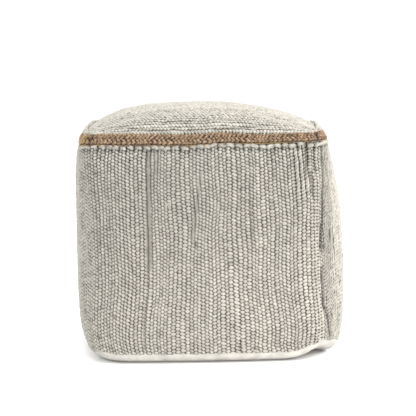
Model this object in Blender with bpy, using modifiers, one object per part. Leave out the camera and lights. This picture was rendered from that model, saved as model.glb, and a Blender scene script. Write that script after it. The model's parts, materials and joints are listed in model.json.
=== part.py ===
"""Cube pouf stool: a filled band of rag-woven cloth, a crowned woven top, a jute braid and a canvas base.

Units are metres, +Z is up, the pouf stands on z = 0 and its front faces -Y. All four pieces lie on one
skin: a stack of rounded squares, one row of SECTIONS each, closed by a flat base and a crowned top.
"""

import math
from collections import namedtuple

import bmesh
import bpy
from mathutils import Vector

# The skin's sections from the floor up. Left, right, front and back are half widths to the middle of
# each side, corner is the radius of the upright corners, and bow is how far a side stands out of the
# straight line between its corners.
Section = namedtuple("Section", "height left right front back corner bow")
SECTIONS = (
    Section(0.000, 0.201, 0.206, 0.200, 0.200, 0.060, 0.004),
    Section(0.004, 0.217, 0.221, 0.214, 0.214, 0.060, 0.005),
    Section(0.017, 0.229, 0.233, 0.225, 0.225, 0.060, 0.006),
    Section(0.048, 0.242, 0.242, 0.234, 0.234, 0.066, 0.009),
    Section(0.100, 0.250, 0.248, 0.241, 0.241, 0.080, 0.012),
    Section(0.165, 0.251, 0.249, 0.244, 0.244, 0.088, 0.015),
    Section(0.235, 0.251, 0.246, 0.244, 0.244, 0.086, 0.015),
    Section(0.300, 0.250, 0.238, 0.241, 0.241, 0.074, 0.014),
    Section(0.350, 0.248, 0.228, 0.235, 0.235, 0.058, 0.012),
    Section(0.391, 0.242, 0.218, 0.226, 0.226, 0.042, 0.010),
    Section(0.4005, 0.2355, 0.211, 0.221, 0.221, 0.037, 0.009),
    Section(0.410, 0.229, 0.204, 0.216, 0.216, 0.032, 0.008),
)
CONTACT_LEVEL = 0
CANVAS_SEAM_LEVEL = 2
BRAID_FOOT_LEVEL = 9
CROWN_LEVEL = 11

# The crown over its edge, fuller towards the left than towards the right.
CROWN_RISE = 0.043
CROWN_FULLNESS = 4.0
CROWN_FULLNESS_RIGHT = 2.2

# Corners that stand above or below their section: right and back say which corner it is, start is where
# on the way out to the corner it begins, and from low to high is the stretch of height it acts on.
Corner = namedtuple("Corner", "right back rise start low high")
BASE_EAR = Corner(1, -1, 0.019, 0.69, 0.120, 0.000)
TOP_DROOP = Corner(1, 1, -0.016, 0.10, 0.200, 0.400)

# Thicknesses of the sheets and the gaps that keep the pieces apart.
PANEL_THICKNESS = 0.0045
CANVAS_THICKNESS = 0.0020
GAP = 0.0004
BRAID_GAP = 0.0008

# Upright troughs in the band. place counts the sides from the front left corner, anticlockwise seen
# from above: 0 to 1 is the front, 1 to 2 the right, 2 to 3 the back and 3 to 4 the left.
Trough = namedtuple("Trough", "place depth width low high")
TROUGHS = (
    Trough(0.230, 0.0034, 0.0060, 0.020, 0.390),
    Trough(0.440, 0.0022, 0.0060, 0.120, 0.330),
    Trough(0.660, 0.0022, 0.0060, 0.090, 0.300),
    Trough(0.911, 0.0042, 0.0055, 0.335, 0.400),
    Trough(0.948, 0.0046, 0.0055, 0.315, 0.400),
    Trough(0.985, 0.0042, 0.0055, 0.070, 0.400),
    Trough(1.420, 0.0024, 0.0060, 0.060, 0.330),
    Trough(1.760, 0.0028, 0.0060, 0.150, 0.390),
    Trough(2.060, 0.0036, 0.0055, 0.320, 0.400),
    Trough(2.330, 0.0026, 0.0060, 0.030, 0.300),
    Trough(2.710, 0.0024, 0.0060, 0.110, 0.380),
    Trough(2.960, 0.0040, 0.0055, 0.325, 0.400),
    Trough(3.290, 0.0026, 0.0060, 0.060, 0.350),
    Trough(3.640, 0.0022, 0.0060, 0.120, 0.300),
)
TROUGH_FADE_HEIGHT = 0.022

# Soft uneven swells that run up the band: how many go round the pouf, and how far each stands out.
Swell = namedtuple("Swell", "count height phase drift")
SWELLS = (
    Swell(19, 0.0012, 0.4, 2.1),
    Swell(31, 0.0009, 1.9, -3.4),
)

# The top seam isn't quite level: its line rises and falls in waves that fade out below and above it.
Wave = namedtuple("Wave", "count height phase")
SEAM_WAVES = (Wave(9, 0.0012, 0.0), Wave(15, 0.0008, 1.0))
SEAM_WAVE_FROM = 0.300
SEAM_WAVE_FADE = 12

# Columns of points round the pouf: an even spread, and three close together in each trough.
COLUMNS_PER_SIDE = 24
TROUGH_COLUMN_SHIFT = 0.016
COLUMN_CLEARANCE = 0.023
SIDE_LENGTH = 0.480
BASE_LEVELS = (-0.75, -0.30, 0.0, 0.5, 1.0, 1.95)
BAND_LEVELS = (2.0, 2.5, 3.0, 3.5, 4.0, 4.6, 5.2, 5.8, 6.4, 7.0, 7.6, 8.3, 9.0, 9.95)
CROWN_LEVELS = (10.0, 11.0, 11.10, 11.26, 11.48, 11.76)

# The plait of the braid: leans of its strands round the pouf, and the shape of its cross-section from
# its lower edge to its upper one. across runs from -1 to 1 between the edges, height is off the skin,
# and lean is how much of the strands' swell a point takes, up on one half and down on the other.
PLAITS = 132
BRAID_LOW_LEVEL = 9.05
BRAID_HIGH_LEVEL = 10.95
STRAND_SWELL = 0.0007
Rib = namedtuple("Rib", "across height lean")
BRAID_PROFILE = (
    Rib(-1.00, 0.0018, 0.0),
    Rib(-0.50, 0.0046, 1.0),
    Rib(0.00, 0.0036, 0.0),
    Rib(0.50, 0.0046, -1.0),
    Rib(1.00, 0.0018, 0.0),
)
NORMAL_STEP = 0.01

WOVEN_COTTON = ("woven_cotton", (0.60, 0.57, 0.50), 0.92)
JUTE = ("jute", (0.36, 0.22, 0.13), 0.88)
CANVAS = ("canvas", (0.74, 0.70, 0.61), 0.90)


def smooth_step(low, high, value):
    """0 up to low, 1 from high on, and a smooth rise between."""
    share = min(1.0, max(0.0, (value - low) / (high - low)))
    return share * share * (3 - 2 * share)


def section_at(level):
    """The section at a level between two rows of SECTIONS, on a Catmull-Rom curve through the rows."""
    first = min(max(math.floor(level), 0), len(SECTIONS) - 2)
    share = level - first
    rows = [SECTIONS[min(max(first + step, 0), len(SECTIONS) - 1)] for step in (-1, 0, 1, 2)]
    weights = (
        (-share + 2 * share**2 - share**3) / 2,
        (2 - 5 * share**2 + 3 * share**3) / 2,
        (share + 4 * share**2 - 3 * share**3) / 2,
        (-(share**2) + share**3) / 2,
    )
    return Section(*(sum(w * value for w, value in zip(weights, column)) for column in zip(*rows)))


def square_point(place):
    """The point of a square from -1 to 1 that lies at this place round the pouf."""
    side = int(place % 4)
    along = 2 * (place % 4 - side) - 1
    return ((along, -1.0), (1.0, along), (-along, 1.0), (-1.0, -along))[side]


def quarter_side(along, half, across, corner):
    """(point, normal) on half a side and half its corner, at a share of their length from the middle."""
    straight = half - corner
    run = along * (straight + math.pi / 4 * corner)
    if run <= straight:
        return (run, across), (0.0, 1.0)
    turn = (run - straight) / corner
    point = (straight + corner * math.sin(turn), across - corner + corner * math.cos(turn))
    return point, (math.sin(turn), math.cos(turn))


def outline(section, place):
    """(x, y) on a section's rounded square with bowed sides."""
    u, v = square_point(place)
    half_x = (section.right if u > 0 else section.left) - section.bow
    half_y = (section.back if v > 0 else section.front) - section.bow
    if abs(v) >= abs(u):
        along = abs(u)
        (x, y), (out_x, out_y) = quarter_side(along, half_x, half_y, section.corner)
    else:
        along = abs(v)
        (y, x), (out_y, out_x) = quarter_side(along, half_y, half_x, section.corner)
    bow = section.bow * (1 + math.cos(math.pi * along)) / 2
    return math.copysign(x + bow * out_x, u), math.copysign(y + bow * out_y, v)


def crown_height(u, v):
    """Height of the crown over its edge: full in the middle and steep at the four seams."""
    sideways = CROWN_FULLNESS_RIGHT if u > 0 else CROWN_FULLNESS
    return CROWN_RISE * (1 - abs(u) ** sideways) * (1 - abs(v) ** CROWN_FULLNESS)


def corner_rise(corner, u, v, height):
    """How far a corner lifts the skin here; high is where it acts in full and low where it ends."""
    nearness = smooth_step(corner.start, 1.0, corner.right * u)
    nearness *= smooth_step(corner.start, 1.0, corner.back * v)
    fullness = min(1.0, max(0.0, (height - corner.low) / (corner.high - corner.low)))
    return corner.rise * nearness * smooth_step(0.0, 1.0, fullness)


def seam_wave(place, height, spread):
    """The rise and fall of the top seam's line, which fades out down the band and up the crown."""
    turn = 2 * math.pi * place / 4
    rise = sum(wave.height * math.sin(wave.count * turn + wave.phase) for wave in SEAM_WAVES)
    nearness = smooth_step(SEAM_WAVE_FROM, SECTIONS[BRAID_FOOT_LEVEL].height, height)
    return rise * nearness * spread**SEAM_WAVE_FADE


def relief(place, height):
    """How far the band stands out of the smooth skin, with its troughs and swells."""
    low = SECTIONS[CANVAS_SEAM_LEVEL].height
    high = SECTIONS[BRAID_FOOT_LEVEL].height
    inside = smooth_step(low, low + 0.04, height) * (1 - smooth_step(high - 0.03, high, height))
    turn = 2 * math.pi * place / 4
    rise = sum(
        swell.height * inside * math.sin(swell.count * turn + swell.phase + swell.drift * height)
        for swell in SWELLS
    )
    for trough in TROUGHS:
        away = (place - trough.place + 2) % 4 - 2
        reach = smooth_step(trough.low, trough.low + TROUGH_FADE_HEIGHT, height)
        reach *= 1 - smooth_step(trough.high - TROUGH_FADE_HEIGHT, trough.high, height)
        rise -= trough.depth * reach * math.exp(-((away * SIDE_LENGTH / trough.width) ** 2))
    return rise


def smooth_skin(place, level):
    """The point of the skin at a place round the pouf and a level, without relief.

    Levels from 0 to CROWN_LEVEL run up the sections. Below 0 the base closes to its middle at -1,
    and above CROWN_LEVEL the crown closes to its middle at CROWN_LEVEL + 1.
    """
    section = section_at(min(max(level, CONTACT_LEVEL), CROWN_LEVEL))
    x, y = outline(section, place)
    u, v = square_point(place)
    spread = 1 - max(0.0, -level, level - CROWN_LEVEL)
    z = section.height + seam_wave(place, section.height, spread)
    if level > CROWN_LEVEL:
        z += crown_height(u * spread, v * spread)
    for corner in (BASE_EAR, TOP_DROOP):
        z += corner_rise(corner, u * spread, v * spread, section.height)
    return Vector((x * spread, y * spread, z))


def outward(place, level):
    """The skin's outward direction, from the lie of the skin a step away on each side."""
    step = NORMAL_STEP
    round_it = smooth_skin(place + step, level) - smooth_skin(place - step, level)
    upward = smooth_skin(place, level + step) - smooth_skin(place, level - step)
    return round_it.cross(upward).normalized()


def skin(place, level, offset=0.0):
    """The point of the skin, moved outwards by an offset."""
    point = smooth_skin(place, level)
    if CANVAS_SEAM_LEVEL < level < BRAID_FOOT_LEVEL:
        offset += relief(place, section_at(level).height)
    return point + outward(place, level) * offset


def band_places():
    """Places of the columns of points round the pouf, with three to each trough."""
    shifts = (-TROUGH_COLUMN_SHIFT, 0.0, TROUGH_COLUMN_SHIFT)
    close = [trough.place + shift for trough in TROUGHS for shift in shifts]
    even = [column / COLUMNS_PER_SIDE for column in range(4 * COLUMNS_PER_SIDE)]
    clear = [place for place in even if all(abs(place - other) > COLUMN_CLEARANCE for other in close)]
    return sorted(clear + close)


def add_ring(shape, points):
    """A ring of new vertices."""
    return [shape.verts.new(point) for point in points]


def bridge(shape, lower, upper):
    """A row of faces between two rings, facing outwards where the second lies above the first."""
    count = len(lower)
    for column in range(count):
        after = (column + 1) % count
        shape.faces.new((lower[column], lower[after], upper[after], upper[column]))


def bridge_all(shape, rings):
    """Rows of faces from each ring to the next one up."""
    for lower, upper in zip(rings, rings[1:]):
        bridge(shape, lower, upper)


def close_ring(shape, ring, middle, facing_up):
    """A fan of triangles from a ring to one point in its middle, which it returns."""
    centre = shape.verts.new(middle)
    for column, vertex in enumerate(ring):
        after = ring[(column + 1) % len(ring)]
        shape.faces.new((vertex, after, centre) if facing_up else (after, vertex, centre))
    return centre


class Sheet:
    """An open sheet on the skin, with rings of points at its levels and a middle that closes one end."""

    def __init__(self, places, levels, middle_level):
        self.shape = bmesh.new()
        self.facing_up = middle_level > 0
        self.rings = [add_ring(self.shape, [skin(place, level) for place in places]) for level in levels]
        bridge_all(self.shape, self.rings)
        end = self.rings[-1] if self.facing_up else self.rings[0]
        self.middle = close_ring(self.shape, end, skin(0.0, middle_level), self.facing_up)
        self.shape.normal_update()

    def drawn_in(self, depth):
        """Points this far inside the sheet: a list for each ring, and the middle."""
        inner = [[vertex.co - vertex.normal * depth for vertex in ring] for ring in self.rings]
        return inner, self.middle.co - self.middle.normal * depth


def material(name, colour, roughness):
    """A Principled material of one plain colour."""
    made = bpy.data.materials.new(name)
    made.use_nodes = True
    surface = made.node_tree.nodes["Principled BSDF"]
    surface.inputs["Base Color"].default_value = (*colour, 1.0)
    surface.inputs["Roughness"].default_value = roughness
    surface.inputs["Metallic"].default_value = 0.0
    return made


def add_object(name, shape, collection, finish):
    """An object from a shape, shaded smooth, in a collection."""
    mesh = bpy.data.meshes.new(name)
    shape.to_mesh(mesh)
    shape.free()
    mesh.shade_smooth()
    mesh.materials.append(material(*finish))
    piece = bpy.data.objects.new(name, mesh)
    collection.objects.link(piece)
    return piece


def add_thickness(piece, thickness):
    """Thickness for an open sheet, laid on inside its surface."""
    wall = piece.modifiers.new("thickness", "SOLIDIFY")
    wall.thickness = thickness
    wall.offset = -1.0
    wall.use_even_offset = False


def stepped_in(points, edge, depth):
    """Points moved inwards by a depth, each square to the sheet whose edge lies beside it."""
    return [point - vertex.normal * depth for point, vertex in zip(points, edge)]


def side_band(collection, places, canvas, panel):
    """The filled body: the woven band, drawn in under the canvas below and the top panel above."""
    under_canvas, floor_middle = canvas.drawn_in(CANVAS_THICKNESS + GAP)
    under_panel, crown_middle = panel.drawn_in(PANEL_THICKNESS + GAP)
    band = [[skin(place, level) for place in places] for level in BAND_LEVELS]
    low_step = stepped_in(band[0], canvas.rings[-1], CANVAS_THICKNESS + GAP)
    high_step = stepped_in(band[-1], panel.rings[0], PANEL_THICKNESS + GAP)
    shape = bmesh.new()
    rows = [*under_canvas[:-1], low_step, *band, high_step, *under_panel[1:]]
    rings = [add_ring(shape, points) for points in rows]
    bridge_all(shape, rings)
    close_ring(shape, rings[0], floor_middle, facing_up=False)
    close_ring(shape, rings[-1], crown_middle, facing_up=True)
    return add_object("side_band", shape, collection, WOVEN_COTTON)


def sheet_piece(name, sheet, thickness, collection, finish):
    """A sheet as its own object, with its thickness laid on inside."""
    piece = add_object(name, sheet.shape, collection, finish)
    add_thickness(piece, thickness)
    return piece


def braid_ring(place, half_turn):
    """One closed cross-section of the braid: its ribbed outer side, then its back on the skin."""
    middle = (BRAID_LOW_LEVEL + BRAID_HIGH_LEVEL) / 2
    half = (BRAID_HIGH_LEVEL - BRAID_LOW_LEVEL) / 2
    swell = STRAND_SWELL * math.cos(half_turn * math.pi)
    front = [
        skin(place, middle + half * rib.across, BRAID_GAP + rib.height + rib.lean * swell)
        for rib in BRAID_PROFILE
    ]
    back = [skin(place, middle + half * across, BRAID_GAP) for across in (1.0, -1.0)]
    return front + back


def jute_braid(collection):
    """The plaited trim that covers the seam between the band and the top panel."""
    count = 2 * PLAITS
    shape = bmesh.new()
    rings = [add_ring(shape, braid_ring(4 * step / count, step)) for step in range(count)]
    bridge_all(shape, [rings[0], *reversed(rings)])
    return add_object("jute_braid", shape, collection, JUTE)


def main():
    for leftover in list(bpy.data.objects):
        bpy.data.objects.remove(leftover)
    collection = bpy.data.collections.new("cube_pouf_stool")
    bpy.context.scene.collection.children.link(collection)
    places = band_places()
    canvas = Sheet(places, BASE_LEVELS, CONTACT_LEVEL - 1)
    panel = Sheet(places, CROWN_LEVELS, CROWN_LEVEL + 1)
    side_band(collection, places, canvas, panel)
    sheet_piece("canvas_base", canvas, CANVAS_THICKNESS, collection, CANVAS)
    sheet_piece("top_panel", panel, PANEL_THICKNESS, collection, WOVEN_COTTON)
    jute_braid(collection)


main()
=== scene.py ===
"""Looks of the cube pouf stool: rag-woven cotton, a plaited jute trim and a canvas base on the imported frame.

Units are metres, +Z is up and the pouf's front faces -Y. Each cloth is laid on the filled form, which is
the frame's solids swelled by a cloth simulation. A place counts the sides from the front left corner,
anticlockwise seen from above: 0 to 1 is the front, 1 to 2 the right, 2 to 3 the back, 3 to 4 the left.
"""

from __future__ import annotations

import json
import logging
import math
from dataclasses import dataclass, field
from enum import Enum
from typing import Any

import bmesh
import bpy
import numpy as np
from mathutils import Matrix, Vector
from mathutils.bvhtree import BVHTree

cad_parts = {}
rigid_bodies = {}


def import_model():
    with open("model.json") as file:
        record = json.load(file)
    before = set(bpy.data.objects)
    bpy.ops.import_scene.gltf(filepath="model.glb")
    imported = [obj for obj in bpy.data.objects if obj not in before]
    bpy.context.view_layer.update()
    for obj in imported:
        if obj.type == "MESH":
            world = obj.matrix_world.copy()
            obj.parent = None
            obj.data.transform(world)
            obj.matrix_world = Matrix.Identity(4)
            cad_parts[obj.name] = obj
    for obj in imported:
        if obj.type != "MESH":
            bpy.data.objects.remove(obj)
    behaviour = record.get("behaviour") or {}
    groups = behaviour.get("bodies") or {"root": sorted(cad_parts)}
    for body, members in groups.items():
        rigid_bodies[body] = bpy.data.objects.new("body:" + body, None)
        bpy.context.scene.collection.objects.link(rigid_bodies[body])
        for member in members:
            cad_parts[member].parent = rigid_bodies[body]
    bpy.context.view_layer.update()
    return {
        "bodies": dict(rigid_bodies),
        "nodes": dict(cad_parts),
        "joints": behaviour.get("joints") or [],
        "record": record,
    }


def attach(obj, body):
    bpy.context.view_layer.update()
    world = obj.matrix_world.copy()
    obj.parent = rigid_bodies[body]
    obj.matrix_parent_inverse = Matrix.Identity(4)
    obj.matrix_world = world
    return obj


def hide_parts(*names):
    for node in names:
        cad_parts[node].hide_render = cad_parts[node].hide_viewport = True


log = logging.getLogger("cube_pouf")

Colour = tuple[float, float, float]
Array = np.ndarray
Arrays = tuple[np.ndarray, ...]
Rows = tuple[tuple[float, ...], ...]
Object = bpy.types.Object
Mesh = bpy.types.Mesh
Material = bpy.types.Material
Tree = bpy.types.NodeTree
Socket = bpy.types.NodeSocket
SIDES = 4
TURN = 2 * math.pi
SEAM_ROUND = 1.65
FIBRE_PACE = 160.0
HAIR = 1e-6


class Slot(Enum):
    """The record's material slots."""

    COTTON = "woven_cotton"
    JUTE = "jute"
    CANVAS = "canvas"


class Kind(Enum):
    """What a socket of a node group carries."""

    NUMBER = "NodeSocketFloat"
    WHOLE = "NodeSocketInt"
    VECTOR = "NodeSocketVector"
    GEOMETRY = "NodeSocketGeometry"
    MATERIAL = "NodeSocketMaterial"


# --- Small numeric helpers ---


def smooth_step(low: float, high: float, value: Array) -> Array:
    """Rises smoothly from 0 at low to 1 at high, which may lie below low."""
    share = np.clip((np.asarray(value, float) - low) / (high - low), 0.0, 1.0)
    return share * share * (3 - 2 * share)


def window(low: float, high: float, rise: float, fall: float, value: Array) -> Array:
    """Is 1 between low and high, with a smooth rise inside the one and a smooth fall inside the other."""
    return smooth_step(low, low + rise, value) * (1 - smooth_step(high - fall, high, value))


def bell(away: Array, width: float, power: int = 2) -> Array:
    """A hump that is 1 where away is 0 and falls off over the width."""
    return np.exp(-((away / width) ** power))


def round_distance(places: Array, place: float) -> Array:
    """Signed way round the pouf from one place to others, at most two sides each way."""
    return (np.asarray(places, float) - place + SIDES / 2) % SIDES - SIDES / 2


def hump(places: Array, place: float, width: float, power: int = 2) -> Array:
    """A bell over the places round the pouf, with its middle at one of them."""
    return bell(round_distance(places, place), width, power)


def calm_round(values: Array, axis: int) -> Array:
    """Averages each value with its two neighbours along a closed line."""
    return (np.roll(values, 1, axis=axis) + 2 * values + np.roll(values, -1, axis=axis)) / 4


def drift(values: Array, seed: int, waves: tuple[float, ...]) -> Array:
    """A slow wander made of a few sine waves.

    Args:
        values: positions along the wander, in turns.
        seed: which wander it is.
        waves: how many waves each term makes in one turn.

    Returns:
        Heights from about -1 to 1.
    """
    turns = np.random.default_rng(seed).random(len(waves))
    return sum(np.sin(TURN * (wave * values + turn)) for wave, turn in zip(waves, turns)) / len(waves)


# --- Building node trees ---


class Value:
    """A node's output, on which Python's own arithmetic adds the Math nodes."""

    def __init__(self, wiring: Wiring, socket: Socket) -> None:
        """Keeps the output and the wiring it belongs to."""
        self.wiring, self.socket = wiring, socket

    def __add__(self, other: Any) -> Value:
        """The two together."""
        return self.wiring.math("ADD", self, other)

    def __sub__(self, other: Any) -> Value:
        """This less the other."""
        return self.wiring.math("SUBTRACT", self, other)

    def __rsub__(self, other: Any) -> Value:
        """The other less this."""
        return self.wiring.math("SUBTRACT", other, self)

    def __mul__(self, other: Any) -> Value:
        """This times the other."""
        return self.wiring.math("MULTIPLY", self, other)

    def __truediv__(self, other: Any) -> Value:
        """This divided by the other."""
        return self.wiring.math("DIVIDE", self, other)

    def __mod__(self, other: Any) -> Value:
        """What whole steps of the other leave of this."""
        return self.wiring.math("FLOORED_MODULO", self, other)

    def __pow__(self, other: Any) -> Value:
        """This to the power of the other."""
        return self.wiring.math("POWER", self, other)

    def __abs__(self) -> Value:
        """This without its sign."""
        return self.wiring.math("ABSOLUTE", self)


class Wiring:
    """Adds nodes to a tree and wires them up, left to right."""

    def __init__(self, tree: Tree) -> None:
        """Starts on a shader or geometry node tree."""
        self.tree, self.count = tree, 0

    def add(self, kind: str, wires: dict[Any, Any] | None = None, **settings: Any) -> bpy.types.Node:
        """Adds a node.

        Args:
            kind: the node's type name.
            wires: a plain value or another node's, for each input by its name or number.
            settings: attributes of the node itself.

        Returns:
            The node.
        """
        node = self.tree.nodes.new(kind)
        node.location = (180 * (self.count // 4), -220 * (self.count % 4))
        self.count += 1
        for name, value in settings.items():
            setattr(node, name, value)
        for key, value in (wires or {}).items():
            self.feed(node.inputs[key], value)
        return node

    def feed(self, socket: Socket, value: Any) -> None:
        """Feeds an input.

        Args:
            socket: the input.
            value: another node's value, which is linked, or a plain one, which is set.
        """
        if isinstance(value, Value):
            self.tree.links.new(value.socket, socket)
        else:
            socket.default_value = value

    def value(
        self, kind: str, wires: dict[Any, Any] | None = None, output: Any = 0, **settings: Any
    ) -> Value:
        """Adds a node and returns one of its outputs, chosen by name or number."""
        return Value(self, self.add(kind, wires, **settings).outputs[output])

    def math(self, operation: str, *values: Any) -> Value:
        """A Math node on one to three values."""
        return self.value("ShaderNodeMath", dict(enumerate(values)), operation=operation)

    def highest(self, first: Any, second: Any) -> Value:
        """The higher of two values."""
        return self.math("MAXIMUM", first, second)

    def sine(self, value: Any) -> Value:
        """The sine of an angle."""
        return self.math("SINE", value)

    def floor(self, value: Any) -> Value:
        """The whole number below a value."""
        return self.math("FLOOR", value)

    def vector_math(self, operation: str, *values: Any) -> Value:
        """The vector output of a Vector Math node; a number for Scale goes last."""
        keys = (0, 3) if operation == "SCALE" else range(len(values))
        return self.value("ShaderNodeVectorMath", dict(zip(keys, values)), operation=operation)

    def combine(self, x: Any, y: Any = 0.0, z: Any = 0.0) -> Value:
        """A vector of three numbers."""
        return self.value("ShaderNodeCombineXYZ", {0: x, 1: y, 2: z})

    def split(self, vector: Any) -> list[Value]:
        """The three numbers of a vector."""
        return [Value(self, output) for output in self.add("ShaderNodeSeparateXYZ", {0: vector}).outputs]

    def rise(self, value: Any, low: Any, high: Any) -> Value:
        """A mask that rises smoothly from 0 at low to 1 at high."""
        wires = dict(enumerate((value, low, high, 0.0, 1.0)))
        return self.value("ShaderNodeMapRange", wires, interpolation_type="SMOOTHSTEP")

    def blend(self, share: Any, first: Any, second: Any, mode: str = "MIX") -> Value:
        """A mix of two colours.

        Args:
            share: how much of the second.
            first: the first colour.
            second: the second colour.
            mode: the blend mode.

        Returns:
            The mixed colour.
        """
        pair = [(*colour, 1.0) if isinstance(colour, tuple) else colour for colour in (first, second)]
        wires = {0: share, 6: pair[0], 7: pair[1]}
        return self.value("ShaderNodeMix", wires, 2, data_type="RGBA", blend_type=mode)

    def noise(self, where: Any, scale: Any, detail: float = 2.0, rough: float = 0.5) -> Value:
        """Soft noise from 0 to 1 at a position."""
        wires = {"Vector": where, "Scale": scale, "Detail": detail, "Roughness": rough}
        return self.value("ShaderNodeTexNoise", wires)

    def chance(self, value: Any) -> Value:
        """A random number from 0 to 1 for each whole value."""
        return self.value("ShaderNodeTexWhiteNoise", {"W": value}, noise_dimensions="1D")

    def random(self, low: Any, high: Any, **wires: Any) -> Value:
        """A random number between two limits for each point, or for each whole ID that is given."""
        return self.value("FunctionNodeRandomValue", {2: low, 3: high, **wires}, 1, data_type="FLOAT")

    def attribute(self, name: str) -> Value:
        """A number kept at a piece's points, as its material reads it."""
        return self.value("ShaderNodeAttribute", output="Fac", attribute_name=name)

    def named(self, name: str, kind: str = "FLOAT") -> Value:
        """A value kept at a geometry's points, read where it is used."""
        return self.value("GeometryNodeInputNamedAttribute", {"Name": name}, data_type=kind)

    def keep(self, geometry: Value, name: str, value: Any) -> Value:
        """Keeps a number at each point of a geometry under a name, and returns the geometry."""
        wires = {"Geometry": geometry, "Name": name, "Value": value}
        return self.value("GeometryNodeStoreNamedAttribute", wires, data_type="FLOAT", domain="POINT")

    def position(self) -> Value:
        """Where each point is."""
        return self.value("GeometryNodeInputPosition")

    def use(self, tree: Tree, wires: dict[str, Any]) -> dict[str, Value]:
        """Adds a shader group and returns its outputs by name."""
        made = self.add("ShaderNodeGroup", wires, node_tree=tree)
        return {output.name: Value(self, output) for output in made.outputs}

    def take(self, name: str) -> Value:
        """One of the group's own inputs."""
        return self.value("NodeGroupInput", output=name)

    def give(self, wires: dict[str, Any]) -> Tree:
        """Feeds the group's own outputs and returns its tree."""
        self.add("NodeGroupOutput", wires)
        return self.tree

    def give_dressed(self, name: str, geometry: Value) -> Tree:
        """Gives a geometry that wears the group's Material, and returns the group's tree."""
        wires = {"Geometry": geometry, "Material": self.take("Material")}
        return self.give({name: self.value("GeometryNodeSetMaterial", wires)})


def new_group(kind: str, name: str, takes: dict[str, Any], gives: dict[str, Kind]) -> Wiring:
    """Starts a node group with named inputs and outputs.

    Args:
        kind: "ShaderNodeTree" or "GeometryNodeTree".
        name: the group's name.
        takes: what each input carries, or the number that it holds at first.
        gives: what each output carries.

    Returns:
        The group's wiring.
    """
    tree = bpy.data.node_groups.new(name, kind)
    for title, first in takes.items():
        carried = first if isinstance(first, Kind) else Kind.WHOLE if isinstance(first, int) else Kind.NUMBER
        made = tree.interface.new_socket(name=title, in_out="INPUT", socket_type=carried.value)
        if carried is not first:
            made.default_value = first
    for title, carried in gives.items():
        tree.interface.new_socket(name=title, in_out="OUTPUT", socket_type=carried.value)
    return Wiring(tree)


# --- Building meshes ---


def run_geometry(piece: Object, tree: Tree, values: dict[str, Any]) -> None:
    """Runs a Geometry Nodes tree on a piece and keeps the result as its plain mesh.

    Args:
        piece: the object whose mesh is worked on.
        tree: the geometry node group.
        values: the group's inputs by name.
    """
    modifier = piece.modifiers.new(tree.name, "NODES")
    modifier.node_group = tree
    names = {item.name: item.identifier for item in tree.interface.items_tree if item.in_out == "INPUT"}
    for name, value in values.items():
        modifier[names[name]] = value
    keep_result(piece)


def keep_result(piece: Object) -> None:
    """Replaces a piece's mesh by what its modifiers make of it, and removes them.

    Args:
        piece: the object.
    """
    graph = bpy.context.evaluated_depsgraph_get()
    graph.update()
    shape = piece.evaluated_get(graph)
    made = bpy.data.meshes.new_from_object(shape, preserve_all_data_layers=True, depsgraph=graph)
    piece.modifiers.clear()
    old = piece.data
    piece.data = made
    made.name = piece.name
    bpy.data.meshes.remove(old)


def add_object(name: str, data: Any) -> Object:
    """Puts a new object into the scene, and returns it.

    Args:
        name: its name.
        data: its mesh, light or camera.

    Returns:
        The object.
    """
    made = bpy.data.objects.new(name, data)
    bpy.context.scene.collection.objects.link(made)
    return made


def add_piece(name: str, points: Array, faces: list[tuple[int, ...]]) -> Object:
    """Adds a smooth-shaded mesh object at the origin.

    Args:
        name: its name.
        points: its points, in rows of three.
        faces: each face's points by number.

    Returns:
        The object.
    """
    mesh = bpy.data.meshes.new(name)
    mesh.from_pydata(points.tolist(), [], faces)
    mesh.shade_smooth()
    return add_object(name, mesh)


def point_array(mesh: Mesh) -> Array:
    """Reads a mesh's points.

    Args:
        mesh: the mesh.

    Returns:
        The points, in rows of three.
    """
    points = np.empty(len(mesh.vertices) * 3)
    mesh.vertices.foreach_get("co", points)
    return points.reshape(-1, 3)


def face_tree(mesh: Mesh) -> BVHTree:
    """A mesh's faces, as a tree that finds points on them."""
    return BVHTree.FromPolygons([v.co for v in mesh.vertices], [p.vertices for p in mesh.polygons])


def store(mesh: Mesh, name: str, values: Array, vectors: bool = False) -> None:
    """Keeps a number or a vector for each point of a mesh under a name.

    Args:
        mesh: the mesh.
        name: the attribute's name.
        values: its values; points past the last of them get 0.
        vectors: whether they are vectors of three.
    """
    layer = mesh.attributes.new(name, "FLOAT_VECTOR" if vectors else "FLOAT", "POINT")
    filled = np.zeros(len(layer.data) * (3 if vectors else 1))
    filled[: values.size] = values.ravel()
    layer.data.foreach_set("vector" if vectors else "value", filled)


def triangles(mesh: Mesh) -> int:
    """How many triangles a mesh has."""
    mesh.calc_loop_triangles()
    return len(mesh.loop_triangles)


def lattice_faces(rows: int, columns: int, closed: bool) -> list[tuple[int, int, int, int]]:
    """Quads between the rows of a lattice whose points lie row after row.

    Args:
        rows: how many rows.
        columns: points in each row.
        closed: whether each row runs round and meets itself.

    Returns:
        The faces, which look outwards where rows run up and columns run anticlockwise.
    """
    row, column = np.mgrid[: rows - 1, : columns if closed else columns - 1]
    after = (column + 1) % columns
    lower, upper = row * columns, (row + 1) * columns
    corners = (lower + column, lower + after, upper + after, upper + column)
    return np.stack(corners, axis=-1).reshape(-1, 4).tolist()


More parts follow.
